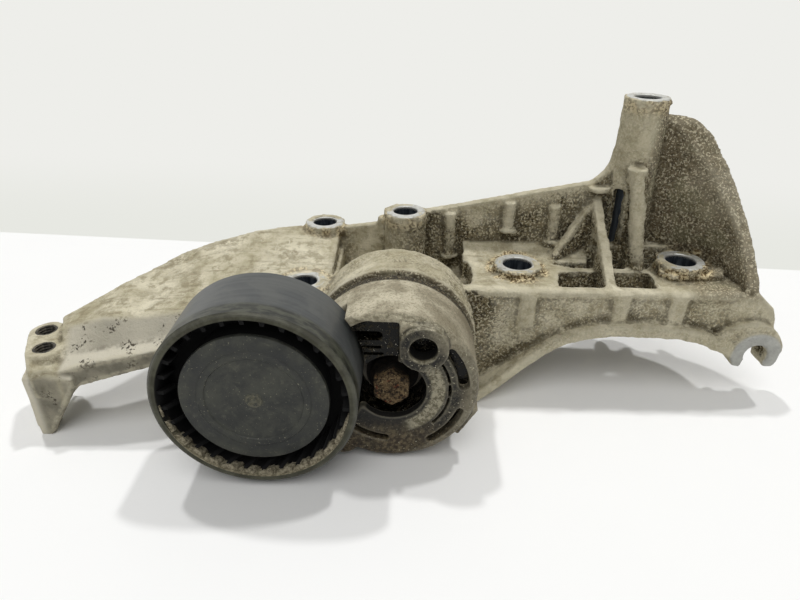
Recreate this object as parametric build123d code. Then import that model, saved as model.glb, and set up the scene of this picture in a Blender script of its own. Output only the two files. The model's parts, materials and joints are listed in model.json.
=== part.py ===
from build123d import *
import os
from math import acos, cos, degrees, radians, sin, sqrt

# Accessory bracket of a car engine with a built-in spring belt tensioner and its smooth idler pulley.
# Millimetres, +Z up. The bracket stands on its engine side (z = 0), so its bolt tubes are vertical.
# The origin is on the axis of the main bolt tube, on its engine face. +X runs to the bracket's hook,
# +Y away from the belt. The tensioner pivot and the pulley axis run along Y, and the belt runs at
# negative y.

# ---------------------------------------------------------------- bolt tubes of the casting
engine_bore = 11.0                # clearance bore for an M10 bolt
accessory_bore = 13.0             # clearance bore for an M12 bolt
tube_wall = 3.9                   # wall of every bolt tube
spot_face = 1.5                   # flat cut round the accessory tubes, past their wall
main_tube_height = 73.0           # main tube, on the origin
left_tube_x, left_tube_y, left_tube_height = -38.5, 10.7, 63.0
front_tube_x, front_tube_y, front_tube_height = -41.5, -37.0, 55.5
pillar_tube_x, pillar_tube_y, pillar_height = 101.5, 6.0, 123.0
pillar_foot_z = 18.0              # lower end of the pillar tube
pillar_taper = 0.6                # growth of the pillar's radius from top to deck
lug_a_x, lug_a_y, lug_a_top = 50.5, -14.0, 54.0
lug_b_x, lug_b_y, lug_b_top = 122.5, -14.0, 57.0
lug_length = 24.0                 # length of the two short accessory tubes
tube_web_drop = 4.0               # the web between left and main tube starts this far below their tops
tube_web_boss = (-9.5, 2.6, 9.0)  # round end of that web: x, y and height
front_web_low, front_web_high = 12.0, 48.0  # web between the left and the front tube
main_web, main_web_drop = 12.0, 7.0  # thick web behind the main tube, and its step below the tube's top

# ---------------------------------------------------------------- deck, walls and ribs
wall = 4.5
rib = 4.5
rib_round = 2.9                   # radius of the round upright ribs
rib_foot = 1.6                    # growth of their feet
back_ribs = [(6.0, 52.0, 2.0), (21.0, 48.0, 2.5), (48.0, 61.0, 2.5), (69.0, 56.0, 8.0)]  # x, low end, drop
deck_top = 42.0
deck_thickness = 5.0
deck_lead = 4.0                   # the deck's edge, past the arch's start and behind the back wall
deck_corner = (10.0, -12.0)       # cut right corner of the deck: from its end, and y
deck_back_end = 22.0              # the deck's back edge ends this far from its right end
middle_rib_x = 84.0               # cross rib below the deck, between the two lugs
keel_low = 8.0
pad_top = 51.0                    # pads round the two accessory tubes
pad_a = [(-20.0, -4.0), (-23.5, 21.0), (15.5, 21.0), (17.5, 6.0), (27.5, 2.0), (27.5, -1.5), (18.5, -2.0)]
pad_b = [(-12.5, 4.0), (-4.5, 12.0), (11.5, 11.0), (22.5, 0.0), (23.5, -10.0)]
pad_a_front, pad_b_front = (-22.0, 15.5), (-14.5, 18.5)  # their ends on the front wall, from the lugs
lug_b_collar = [(-10.5, -6.0), (-9.5, 4.0), (-3.5, 11.0), (10.5, 10.0), (18.5, 0.0), (16.5, -9.0),
                (-6.5, -11.0)]
lug_b_collar_drop = 3.0
rise_left, rise_right, rise_depth, rise_height = 27.0, 88.0, 13.0, 6.0  # slope at the back wall's foot
front_wall_y = -34.0              # front face of the front wall
front_wall_top = 51.0
front_wall_lap = (15.0, 6.0)      # where the front wall leaves the cup: height and lap
back_wall_y = 6.0                 # front face of the back wall
back_wall_low, back_wall_high = 71.0, 85.5
back_wall_left, back_wall_drop = -4.0, 3.0  # its left end and the small slope there
back_wall_start, back_wall_end = 11.5, 17.5  # its straight top: from x to this far before the pillar
back_wall_past = 8.0              # the wall below the deck ends this far past the pillar
pillar_shoulder = [(0.0, 108.0), (-9.2, 100.0), (-10.2, 93.5), (-12.6, 90.0)]  # from the pillar's axis, z
deck_left, deck_right = -46.0, 147.5
right_overhang = 2.0              # the end wall stands this far past the deck
arch_start, arch_end = 32.5, 148.5
arch_end_z = 15.7
arch_rise = 30.4                  # highest point of the open arch above the engine face
arch_peak_x = 101.0
end_corner_low, end_corner_high, end_corner_inset = 6.0, 2.5, 6.0  # cut corners of the right end
band_height, band_depth = 6.0, 4.0
band_left, band_setback, band_run, band_top = 20.0, 3.0, 34.0, 60.0
window_in_deck = (12.0, 9.0)      # open pocket through the deck
window_x, window_y = 90.5, -6.0
slit_width, slit_depth, slit_height = 3.6, 15.0, 26.0  # upright slit in the pillar, open to its bore
slit_offset, slit_setback = 6.2, 8.5  # left of the pillar tube's axis and in front of it
slit_lift = 16.0                  # above the deck
long_rib_x = 88.5                 # front end of the long sloping rib
short_rib = (68.0, -3.0, 2.0)     # lower end of the short sloping rib: x, y and height above the pads
rib_peak = (14.5, 4.5)            # where both meet: left of the pillar and below the back wall's top
rib_knob = 1.8
link_ribs = [(66.0, 112.0, -13.0, 0.0), (84.0, 128.0, 2.5, 6.0)]  # from x to x, at y, height above the pads
pillar_fin = (1.0, -10.0, 80.0)   # fin in front of the pillar: x from its axis, y of its edge and top
panel_ribs = (53.0, 92.5, 116.5)  # flat ribs on the front wall
panel_rib_width, panel_rib_depth = 6.0, 1.8
panel_rib_lift = 3.0              # above the arch's highest point
bead, bead_sink, bead_end = 1.3, 0.4, 8.0  # rounded lip along the front wall's top
shield_top, shield_shoulder = 119.5, 107.0
shield_shoulder_x = 133.0
shield_start, shield_flat = 4.0, 11.0  # the shield starts this far past the pillar; its flat top
shield_bulge, shield_inner_bulge = (39.0, -5.0), (34.0, -9.0)  # middle of its curve, from the pillar
shield_slope = [(-14.0, 11.0), (-7.0, 5.5), (0.0, 0.0), (5.0, -7.0), (9.0, -19.0)]  # from the shoulder
shield_fall = [(-3.5, -31.0), (-1.5, -41.0), (1.0, -57.0)]  # from the right end and the shoulder
shield_side = [(0.0, 52.0), (10.0, 66.0), (19.0, 78.0), (27.0, 89.0), (34.0, 101.0), (39.0, 113.0)]
strut_radius = 3.3                # leaning round rib in front of the pillar
strut_low, strut_high = 43.0, 94.0
strut_foot, strut_head = (4.5, -18.0), (-3.0, -12.5)  # its ends, from the pillar's axis
strut_cap, strut_cap_height = 1.2, 2.0
strut_back, strut_back_length, strut_back_slim = 3.0, 6.0, 0.5  # short round rib behind its head

# ---------------------------------------------------------------- hook at the right end
hook_x, hook_z = 153.8, 22.5
hook_bore = 10.0
hook_wall = 5.4
hook_tip_drop = 5.9               # the hook's two tips end this far below its axis
hook_front, hook_depth = -38.0, 12.0
hook_shoulder = [(6.0, 8.0), (5.8, 10.0), (5.9, 16.0), (3.2, 22.0)]  # from the hook's axis
hook_root_high, hook_root_left = 46.0, 10.0
hook_shoulder_depth = 8.5
hook_collar, hook_collar_left, hook_collar_depth, hook_collar_low = 5.5, 4.5, 3.0, 2.0
mouth_left, mouth_right = (4.0, 9.5), (3.6, 6.2)  # half widths of the mouth, at the axis and at the table

# ---------------------------------------------------------------- left arm of the casting
sheet = 4.5                       # thickness of the cast sheet
sheet_bend = (1.2, 2.2)           # how far the sheet's inner corners step back
arm_sections = [                  # x, then (y, z) of back, edge, valley and lip, and the lip's foot
    (-148.5, (-44.5, 37.0), (-54.0, 35.0), (-63.0, 31.5), (-72.0, 28.0), 4.0),
    (-135.5, (-40.5, 43.5), (-55.0, 42.0), (-63.0, 33.5), (-71.0, 30.0), 21.0),
    (-119.5, (-29.0, 50.0), (-55.5, 47.0), (-62.0, 36.0), (-69.5, 34.8), 25.5),
    (-104.0, (-6.0, 52.5), (-55.0, 47.5), (-61.5, 38.5), (-68.0, 37.3), 29.5),
    (-87.5, (-1.0, 57.5), (-53.0, 49.0), (-58.0, 42.0), (-64.0, 39.6), 32.0),
    (-70.0, (3.5, 61.0), (-49.0, 51.0), (-52.0, 46.0), (-54.5, 42.0), 33.0),
    (-54.5, (8.0, 62.0), (-46.0, 53.0), (-49.0, 50.0), (-51.0, 44.0), 33.0),
    (-31.0, (15.0, 60.0), (-44.0, 53.5), (-46.0, 51.0), (-47.8, 45.0), 33.0),
]
end_fin = [(-148.5, 4.0), (-148.0, 0.0), (-143.0, 0.0), (-129.0, 23.5), (-129.0, 28.0), (-148.5, 28.0)]
end_fin_front, end_fin_side = -72.0, -148.5
end_foot_left, end_foot_width, end_foot_depth, end_foot_top = 0.5, 4.5, 10.0, 10.0
end_side_back, end_side_low = -44.5, 4.0
arm_root_left, arm_root_right, arm_root_front, arm_root_back, arm_root_top = -33.0, -29.0, -47.0, 12.0, 52.0
end_pad_top, end_pad_margin = 36.0, 3.6
end_hole_tap = 6.8                # tapped M8
end_hole_depth = 14.0
end_hole_floor = 3.0
end_hole_gap = 14.4               # distance between the two tapped holes
end_pad_x, end_pad_y = -145.6, -55.3
end_pad_turn = 114.5              # direction of the row of holes, from +X
apron_x, apron_y, apron_drop = 4.6, -8.5, 4.5  # short slope in front of the end pad

# ---------------------------------------------------------------- tensioner: axis and housing
pivot_x, pivot_z = -3.5, 33.5
housing_radius, housing_depth = 32.4, 30.0
housing_wall = 4.1
housing_plate = 4.0
housing_skirt = 5.5               # the housing reaches this far behind the arm's plate
housing_edge_round = 3.4
housing_rim = 3.0                 # solid ring at the housing's back
rim_step = 1.0                    # the ring's step below the housing's radius
groove_width = 2.0                # running gap between housing and cup
cup_step = 1.1                    # the cup's radius is this much larger than the housing's
cup_wall, cup_floor = 4.1, 4.0
pivot_seat_step, pivot_seat_depth = 3.0, 12.0  # thick seat behind the cup, slimmer than the sleeve
spigot_length, spigot_wall = 6.0, 2.6
damper_thickness = 1.6            # plastic bush between the spigot and the cup
eye_radius = 12.8                 # hole round the pivot bolt
roof_wall = 3.4                   # housing left above the window's flat top
window_right, window_right_low = 2.8, 14.0  # the window's upright side, from the pivot
window_left, window_low = 8.0, 8.0  # start and depth of its lower side, from the pivot
slot_places = [(5.7, 4.0), (5.2, 3.0), (10.9, 1.0), (9.8, 2.6)]  # inset from the radius, width
slot_angles = [(6, 38), (-57, -20), (-43, 44), (-134, -96)]
flat_lug_angle = 31.0             # low flat lug on the housing's right, below +X
flat_lug, flat_lug_setback, flat_lug_sink = (5.0, 7.0, 14.0), 7.5, 0.5
pin_lug_angle, pin_lug_inset = 60.5, 9.65  # locking-pin lug: direction and inset from the radius
pin_lug_bore, pin_lug_wall, pin_lug_rise = 10.0, 3.9, 3.5
lug_block_low, lug_block_high, lug_block_past, lug_block_rise = 6.0, 10.0, 2.0, 2.0
badge_angle, badge_inset, badge_radius = 233.0, 0.9, 6.2  # plain round boss, low on the left
badge_setback, badge_depth = 0.6, 9.4

# ---------------------------------------------------------------- tensioner: arm, pivot and spring
arm_rest = 173.8                  # direction of the arm at its free stop, from +X
arm_plate = 9.0
arm_end_radius = 15.0
arm_web = 29.5                    # height of the web between drum and arm end
gap = 0.8                         # side clearance of the turning parts
pivot_bolt = 10.0
pivot_thread_depth = 10.0         # the bolt reaches this far past the cup's back
pivot_head_af, pivot_head_height = 13.0, 10.6
pivot_flange_radius, pivot_flange_height = 8.6, 2.0
pivot_tube = 20.0
tube_stand = 0.5                  # the steel tube stands this far out of its bush
bush_wall = 2.0
washer_radius, washer_height = 10.0, 3.0
pulley_nest = 1.3                 # the pulley passes the pivot's washer at this distance
running = 0.03                    # radial clearance of the running fits
seat_thickness = 1.0              # plastic ring under the spring
seal_lift = 0.35                  # groove seal to the turning housing
seal_setback = 1.4                # the groove seal lies this far inside the housing's radius
sleeve_gap, sleeve_length = 3.3, 15.5  # the arm's sleeve, inside the spring
thrust_step, thrust_thickness = 1.5, 2.0
spring_wire, spring_turns, coil_gap = 4.2, 4.0, 0.4125
spring_side_gap, spring_end_gap = 0.67, 1.0
arm_pockets = [(5.2, 21.0, 13.0, 3.8, 6.0), (4.4, 16.2, 12.0, 1.2, 1.6), (3.6, 13.4, 9.0, 1.2, 1.6)]

# ---------------------------------------------------------------- pulley and its bearing
belt_diameter = 72.0
pulley_width = 29.5
belt_y = -83.25                   # middle of the belt track
rim_wall = 2.8
edge_chamfer = 0.8
pulley_rib_count = 30
pulley_rib_height, pulley_rib_thickness, pulley_rib_slant = 2.6, 1.3, 24.0
pulley_rib_front, pulley_rib_sink = 1.5, 0.3
pulley_web, pulley_web_shift = 4.0, 1.0
hub_wall, hub_lip, hub_lip_step = 5.0, 1.3, 2.0
bearing_bore, bearing_outer, bearing_width = 17.0, 40.0, 12.0
bearing_offset = 1.75             # the bearing sits this far behind the belt's middle
ball_diameter, ball_count = 6.75, 8
race_gap = 0.04
inner_land_step, outer_land_step = 2.65, 2.75  # from the balls' circle to the two lands
seal_thickness, seal_gap, seal_inset = 0.8, 0.1, 0.4
cage_wall, cage_width = 2.2, 7.8
spacer_flange, spacer_length = 12.0, 9.0
pulley_bolt = 10.0
pulley_head_af, pulley_head_height = 15.0, 5.0
pulley_washer_height = 1.5
cap_radius, cap_thickness, cap_skirt, cap_skirt_wall = 26.2, 1.5, 4.0, 1.4
cap_setback = 2.0                 # behind the pulley's front
cap_ring_outer, cap_ring_inner, cap_ring_height, cap_dot = 20.0, 17.5, 0.4, 2.8
shield_disc, shield_radius, shield_gap = 0.8, 24.5, 0.6
clear = 1.5                       # running gap between pulley and everything beside it

# ---------------------------------------------------------------- places that follow from the above
sink = 1.0                        # joined pieces reach this far into each other, and cuts this far past
far = 200.0                       # longer than anything that it cuts
right_end = deck_right + right_overhang
arm_length = belt_diameter / 2 + pulley_nest + washer_radius
arm_front = belt_y + bearing_offset + bearing_width / 2 + spacer_length
arm_back = arm_front + arm_plate
pulley_front, pulley_back = belt_y - pulley_width / 2, belt_y + pulley_width / 2
bearing_front = belt_y + bearing_offset - bearing_width / 2
bearing_back = bearing_front + bearing_width
pitch_radius = (bearing_bore + bearing_outer) / 4
inner_land, outer_land = pitch_radius - inner_land_step, pitch_radius + outer_land_step
pulley_x = pivot_x + arm_length * cos(radians(arm_rest))
pulley_z = pivot_z + arm_length * sin(radians(arm_rest))
pulley_clear = belt_diameter / 2 + clear
housing_back = arm_back + housing_skirt
housing_front = housing_back - housing_depth
drum_front = housing_front + housing_plate
drum_radius = housing_radius - housing_wall
cup_radius = housing_radius + cup_step
spring_room = cup_radius - cup_wall
spigot_radius = spring_room - damper_thickness - running
spigot_bore = spigot_radius - spigot_wall
spring_radius = spigot_bore - spring_side_gap - spring_wire / 2
sleeve_radius = spring_radius - spring_wire / 2 - sleeve_gap
spring_front = arm_back + seat_thickness + seal_lift + spring_wire / 2
spring_back = spring_front + spring_turns * (spring_wire + coil_gap)
cup_front = housing_back + groove_width
cup_back = spring_back + spring_wire / 2 + spring_end_gap + cup_floor
sleeve_back = arm_back + sleeve_length
tube_front = arm_front - gap
washer_back = tube_front - tube_stand
pin_lug_front = housing_front - pin_lug_rise


def rod_y(radius, front, back, x=0.0, z=0.0):
    """A cylinder along Y."""
    return Pos(x, (front + back) / 2, z) * Rot(90, 0, 0) * Cylinder(radius, back - front)


def rod_z(radius, low, high, x=0.0, y=0.0):
    """A cylinder along Z."""
    return Pos(x, y, (low + high) / 2) * Cylinder(radius, high - low)


def prism_y(points, front, back):
    """An upright outline of (x, z) points, extruded along Y."""
    outline = Polyline(*[(x, front, z) for x, z in points], close=True)
    return extrude(make_face(outline), amount=back - front, dir=(0, 1, 0))


def prism_z(points, low, high):
    """A plan outline of (x, y) points, extruded along Z."""
    outline = Polyline(*[(x, y, low) for x, y in points], close=True)
    return extrude(make_face(outline), amount=high - low, dir=(0, 0, 1))


def block(left, right, front, back, low, high):
    """A box from its six sides."""
    return prism_z([(left, front), (right, front), (right, back), (left, back)], low, high)


def bar(start, end, thickness, low, high):
    """An upright wall between two plan points."""
    dx, dy = end[0] - start[0], end[1] - start[1]
    length = sqrt(dx * dx + dy * dy)
    nx, ny = -dy / length * thickness / 2, dx / length * thickness / 2
    corners = [(start[0] + nx, start[1] + ny), (end[0] + nx, end[1] + ny),
               (end[0] - nx, end[1] - ny), (start[0] - nx, start[1] - ny)]
    return prism_z(corners, low, high)


def gusset(start, end, thickness, low, start_top, end_top):
    """An upright wall whose top slopes from one plan point to another."""
    dx, dy = end[0] - start[0], end[1] - start[1]
    length = sqrt(dx * dx + dy * dy)
    turn = degrees(acos(dx / length)) * (1 if dy >= 0 else -1)
    side = prism_y([(0, low), (length, low), (length, end_top), (0, start_top)],
                   -thickness / 2, thickness / 2)
    return Pos(start[0], start[1], 0) * Rot(0, 0, turn) * side


def stadium(start, end, radius, low, high):
    """An upright bar with round ends."""
    ends = rod_z(radius, low, high, *start) + rod_z(radius, low, high, *end)
    return ends + bar(start, end, 2 * radius, low, high)


def around(x, y, points):
    """Corners given from a centre."""
    return [(x + dx, y + dy) for dx, dy in points]


def hexagon(across_flats, front, back, x=0.0, z=0.0):
    """A hexagonal head along Y."""
    corner = across_flats / 2 / cos(radians(30))
    points = [(x + corner * cos(radians(60 * i + 30)), z + corner * sin(radians(60 * i + 30)))
              for i in range(6)]
    return prism_y(points, front, back)


# ================================================================= bracket casting

def bolt_tubes():
    """Place, lower end, upper end and bore of each bolt tube."""
    return {
        "main": (0.0, 0.0, 0.0, main_tube_height, engine_bore),
        "left": (left_tube_x, left_tube_y, 0.0, left_tube_height, engine_bore),
        "front": (front_tube_x, front_tube_y, 0.0, front_tube_height, engine_bore),
        "pillar": (pillar_tube_x, pillar_tube_y, pillar_foot_z, pillar_height, engine_bore),
        "lug_a": (lug_a_x, lug_a_y, lug_a_top - lug_length, lug_a_top, accessory_bore),
        "lug_b": (lug_b_x, lug_b_y, lug_b_top - lug_length, lug_b_top, accessory_bore),
    }


def arch_side(left, top, front, back):
    """A wall above the open arch, from the given left end to the deck's right end."""
    rise, fall = arch_peak_x - arch_start, arch_end - arch_peak_x
    crown = Spline((arch_start, front, 0), (arch_start + 0.394 * rise, front, 0.64 * arch_rise),
                   (arch_start + 0.562 * rise, front, 0.86 * arch_rise), (arch_peak_x, front, arch_rise),
                   (arch_peak_x + 0.768 * fall, front, 0.79 * arch_rise), (arch_end, front, arch_end_z))
    rest = Polyline((arch_end, front, arch_end_z), (right_end, front, arch_end_z + end_corner_low),
                    (right_end, front, top - end_corner_high), (deck_right - end_corner_inset, front, top),
                    (left, front, top), (left, front, 0), (arch_start, front, 0))
    outline = make_face(Wire(list(crown.edges()) + list(rest.edges())))
    return extrude(outline, amount=back - front, dir=(0, 1, 0))


def channel():
    """Deck with a wall along each side and cross ribs below."""
    front_inner = front_wall_y + wall
    deck = prism_z([(deck_left, cup_back - cup_floor), (pivot_x, cup_back - cup_floor),
                    (arch_start - deck_lead, front_inner), (right_end - wall, front_inner),
                    (right_end - deck_corner[0], deck_corner[1]), (right_end - deck_back_end, back_wall_y),
                    (deck_left, back_wall_y + deck_lead)], deck_top - deck_thickness, deck_top)
    height, lap = front_wall_lap
    front = arch_side(pivot_x + sqrt(cup_radius ** 2 - height ** 2) - lap, front_wall_top,
                      front_wall_y, front_inner)
    back = arch_side(pivot_x, deck_top, back_wall_y, back_wall_y + wall)
    back = back & Box(2 * (pillar_tube_x + back_wall_past), far, far)
    under = Part() + [arch_side(pivot_x, deck_top, front_wall_y, back_wall_y + wall)
                      & Pos(x, 0, 0) * Box(rib, far, far) for x in (lug_a_x, middle_rib_x, lug_b_x)]
    keel = bar((pivot_x, cup_back - sink), (0, 0), wall, keel_low, deck_top)
    return deck + front + back + under + keel


def arch_band():
    """Thick edge along the arch, drawn forward to the tensioner cup at its left end."""
    left, front = pivot_x + band_left, cup_front + band_setback
    right_front, back = front_wall_y - band_depth, front_wall_y + sink
    full = arch_side(pivot_x, far, front, back)
    raised = Pos(0, 0, band_height) * arch_side(pivot_x, far, front - sink, back + sink)
    reach = prism_z([(left, front), (arch_start - band_setback, front), (arch_start + band_run, right_front),
                     (right_end, right_front), (right_end, back), (left, back)], 0, band_top)
    return (full - raised) & reach


def back_wall():
    """Tall wall along the back, rising to the pillar, with its upright ribs."""
    rise_end = pillar_tube_x - back_wall_end
    low = deck_top - 2 * sink
    shoulder = [(pillar_tube_x + x, z) for x, z in pillar_shoulder]
    face = prism_y([(back_wall_left, low), (pillar_tube_x, low)] + shoulder
                   + [(rise_end, back_wall_high), (back_wall_start, back_wall_low),
                      (back_wall_left, back_wall_low - back_wall_drop)], back_wall_y, back_wall_y + wall)
    slope = (back_wall_high - back_wall_low) / (rise_end - back_wall_start)
    for x, foot, drop in back_ribs:
        face += rod_z(rib_round, foot, back_wall_low + slope * (x - back_wall_start) - drop, x, back_wall_y)
        face += rod_z(rib_round + rib_foot, foot, foot + rib_foot, x, back_wall_y)
    return face


def pillar_slit():
    """Upright slit, left of the pillar's axis."""
    middle = deck_top + slit_lift + slit_height / 2
    return Pos(pillar_tube_x - slit_offset, pillar_tube_y - slit_setback, middle) \
        * Box(slit_width, slit_depth, slit_height)


def deck_ribs():
    """Pads round the accessory tubes and the ribs that tie them to the walls."""
    inner, back, low = front_wall_y + wall - sink, back_wall_y + sink, deck_top - sink
    ends_a, ends_b = [(lug_a_x + x, inner) for x in pad_a_front], [(lug_b_x + x, inner) for x in pad_b_front]
    pads = prism_z(ends_a[:1] + around(lug_a_x, lug_a_y, pad_a) + ends_a[1:], low, pad_top)
    pads += prism_z(ends_b[:1] + around(lug_b_x, lug_b_y, pad_b) + ends_b[1:], low, pad_top)
    pads += prism_z(around(lug_b_x, lug_b_y, lug_b_collar), low, lug_b_top - lug_b_collar_drop)
    foot = back - rise_depth
    pads += Rot(0, 0, 90) * prism_y([(back, deck_top), (back, pad_top + rise_height), (foot, pad_top),
                                     (foot, deck_top)], -rise_right, -rise_left)
    top = (pillar_tube_x - rib_peak[0], back)
    peak = back_wall_high - rib_peak[1]
    short_x, short_y, short_lift = short_rib
    fin_x, fin_y, fin_top = pillar_fin
    ribs = [
        gusset((long_rib_x, inner), top, rib, low, front_wall_top, peak),
        gusset((short_x, short_y), top, rib, low, pad_top + short_lift, peak),
        bar((pillar_tube_x + fin_x, fin_y), (pillar_tube_x + fin_x, 0), rib, low, fin_top),
        rod_z(rib_round + rib_knob, peak + sink / 2, peak + 3 * sink, top[0], back - 2 * sink),
    ]
    ribs += [bar((start, y), (end, y), rib, low, pad_top + lift) for start, end, y, lift in link_ribs]
    return pads + ribs


def pillar_strut():
    """Leaning round rib in front of the pillar, with a small cap."""
    low = Vector(pillar_tube_x + strut_foot[0], pillar_tube_y + strut_foot[1], strut_low)
    high = Vector(pillar_tube_x + strut_head[0], pillar_tube_y + strut_head[1], strut_high)
    axis = high - low
    shaft = Plane(origin=low, z_dir=axis) * Pos(0, 0, axis.length / 2) * Cylinder(strut_radius, axis.length)
    cap = rod_z(strut_radius + strut_cap, strut_high, strut_high + strut_cap_height, high.X, high.Y)
    back = rod_z(strut_radius - strut_back_slim, strut_high - strut_back_length, strut_high + sink,
                 high.X, high.Y + strut_back)
    return shaft + cap + back


def shield_wall():
    """Curved wall that sweeps from the pillar round to the front corner above the hook."""
    start = (pillar_tube_x + shield_start, back_wall_y + wall + sink)
    end = (right_end, front_wall_y + sink)
    thick = wall + sink
    outer_bulge, inner_bulge = around(pillar_tube_x, 0, [shield_bulge, shield_inner_bulge])
    outer = ThreePointArc(start, outer_bulge, end)
    inner = ThreePointArc((end[0] - thick, end[1]), inner_bulge, (start[0], start[1] - thick))
    closing = [Line(outer @ 1, inner @ 0), Line(inner @ 1, outer @ 0)]
    plan = make_face(Wire([outer.edge(), closing[0].edge(), inner.edge(), closing[1].edge()]))
    sheet_wall = Pos(0, 0, deck_top - deck_thickness) * extrude(plan, amount=far, dir=(0, 0, 1))
    left = pillar_tube_x - 2 * sink
    top = prism_y([(left, 0), (left, shield_top), (pillar_tube_x + shield_flat, shield_top)]
                  + [(shield_shoulder_x + x, shield_shoulder + z) for x, z in shield_slope]
                  + [(right_end + x, shield_shoulder + z) for x, z in shield_fall]
                  + [(right_end + shield_fall[-1][0], 0)], -far, far)
    rising = [(front_wall_y + y, z) for y, z in shield_side]
    side = Rot(0, 0, 90) * prism_y([(-far, 0), (-far, shield_side[0][1])] + rising + [(far, far), (far, 0)],
                                   -far, 0)
    return sheet_wall & top & side


def arm_section(x, back, edge, valley, lip, lip_foot):
    """One closed section of the left arm's sheet, across X, from (y, z) corners."""
    ring = [back, edge, valley, lip, (lip[0], lip_foot), (lip[0] + sheet, lip_foot),
            (lip[0] + sheet, lip[1] - sheet), (valley[0] + sheet_bend[0], valley[1] - sheet),
            (edge[0] + sheet_bend[1], edge[1] - sheet), (back[0], back[1] - sheet)]
    return make_face(Polyline(*[(x, y, z) for y, z in ring], close=True))


def left_arm():
    """Sheet that slopes down from the bolt tubes to the end pad, with a hanging front lip."""
    skin = loft([arm_section(*section) for section in arm_sections], ruled=True)
    left, front = end_fin_side, end_fin_front
    toe = left + end_foot_left
    fin = prism_y(end_fin, front, front + sheet)
    side = block(left, left + sheet, front, end_side_back, end_side_low, end_fin[-1][1])
    foot = block(toe, toe + end_foot_width, front, front + end_foot_depth, 0, end_foot_top)
    root = block(arm_root_left, arm_root_right, arm_root_front, arm_root_back,
                 deck_top - 2 * sink, arm_root_top)
    return skin + fin + side + foot + root


def end_holes():
    """Places of the two tapped holes on the end pad."""
    half = end_hole_gap / 2
    turn = radians(end_pad_turn)
    return [(end_pad_x + sign * half * cos(turn), end_pad_y + sign * half * sin(turn)) for sign in (-1, 1)]


def end_pad():
    """Machined pad at the arm's end, thick enough for the two tapped holes."""
    (x0, y0), (x1, y1) = end_holes()
    radius = end_hole_tap / 2 + end_pad_margin
    low = end_pad_top - end_hole_depth - end_hole_floor
    apron = gusset((x0, y0), (x0 + apron_x, y0 + apron_y), 2 * radius, low,
                   end_pad_top, end_pad_top - apron_drop)
    return stadium((x0, y0), (x1, y1), radius, low, end_pad_top) + apron


def front_panel():
    """Flat upright ribs and a rounded lip on the front wall."""
    low, high, half = arch_rise + panel_rib_lift, front_wall_top - sink, panel_rib_width / 2
    ribs = Part() + [prism_y([(x - half, low), (x + half, low), (x + half, high), (x - half, high)],
                             front_wall_y - panel_rib_depth, front_wall_y + sink) for x in panel_ribs]
    length = deck_right - bead_end - arch_start
    radius = bead + bead_sink
    lip_y = front_wall_y + radius - bead + bead_sink / 2
    lip = Rot(0, 90, 0) * Cylinder(radius, length)
    return ribs + Pos(arch_start + length / 2, lip_y, front_wall_top - radius) * lip


def hook():
    """Open hook with its axis along Y."""
    outer = hook_bore / 2 + hook_wall
    ring = rod_y(outer, hook_front, hook_front + hook_depth, hook_x, hook_z)
    ring = ring & Pos(hook_x, hook_front, hook_z + far / 2 - hook_tip_drop) * Box(far, far, far)
    shoulder = prism_y([(arch_end - 3 * sink, arch_end_z + 2 * sink), (arch_end + 4 * sink, hook_z)]
                       + around(hook_x, hook_z, hook_shoulder)
                       + [(right_end, front_wall_top), (arch_end - hook_root_left, hook_root_high)],
                       front_wall_y - sink, front_wall_y + hook_shoulder_depth)
    collar_x, collar_front = hook_x - hook_collar_left, front_wall_y - hook_collar_depth
    collar = rod_y(outer + hook_collar, collar_front, front_wall_y + wall, collar_x, hook_z)
    collar = collar & Pos(collar_x, front_wall_y, hook_z + far / 2 + hook_collar_low) * Box(far, far, far)
    return ring + shoulder + collar


def hook_mouth():
    """Bore of the hook and its opening downward."""
    bore = rod_y(hook_bore / 2, -far, far, hook_x, hook_z)
    mouth = prism_y([(hook_x - mouth_left[0], hook_z), (hook_x + mouth_right[0], hook_z),
                     (hook_x + mouth_right[1], 0), (hook_x - mouth_left[1], 0)], -far, far)
    return bore + mouth


def cup():
    """Spring cup of the tensioner, with the seat of the pivot."""
    shell = rod_y(cup_radius, cup_front, cup_back, pivot_x, pivot_z)
    room = rod_y(spring_room, cup_front - sink, cup_back - cup_floor, pivot_x, pivot_z)
    seat = rod_y(sleeve_radius - pivot_seat_step, sleeve_back + thrust_thickness, cup_back + pivot_seat_depth,
                 pivot_x, pivot_z)
    return shell, room, seat


def tube_webs():
    """Upright webs between the bolt tubes."""
    high, web_x, web_y, web_height = left_tube_height - tube_web_drop + sink, *tube_web_boss
    low = deck_top - 2 * sink
    webs = gusset((left_tube_x, left_tube_y), (0, 0), wall, low, high, main_tube_height - tube_web_drop)
    webs += rod_z(rib_round + strut_back_slim, high, high + web_height, web_x, web_y)
    webs += bar((left_tube_x, left_tube_y), (front_tube_x, front_tube_y), wall, front_web_low, front_web_high)
    return webs + bar((0, 0), (0, back_wall_y + wall), main_web, low, main_tube_height - main_web_drop)


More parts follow.
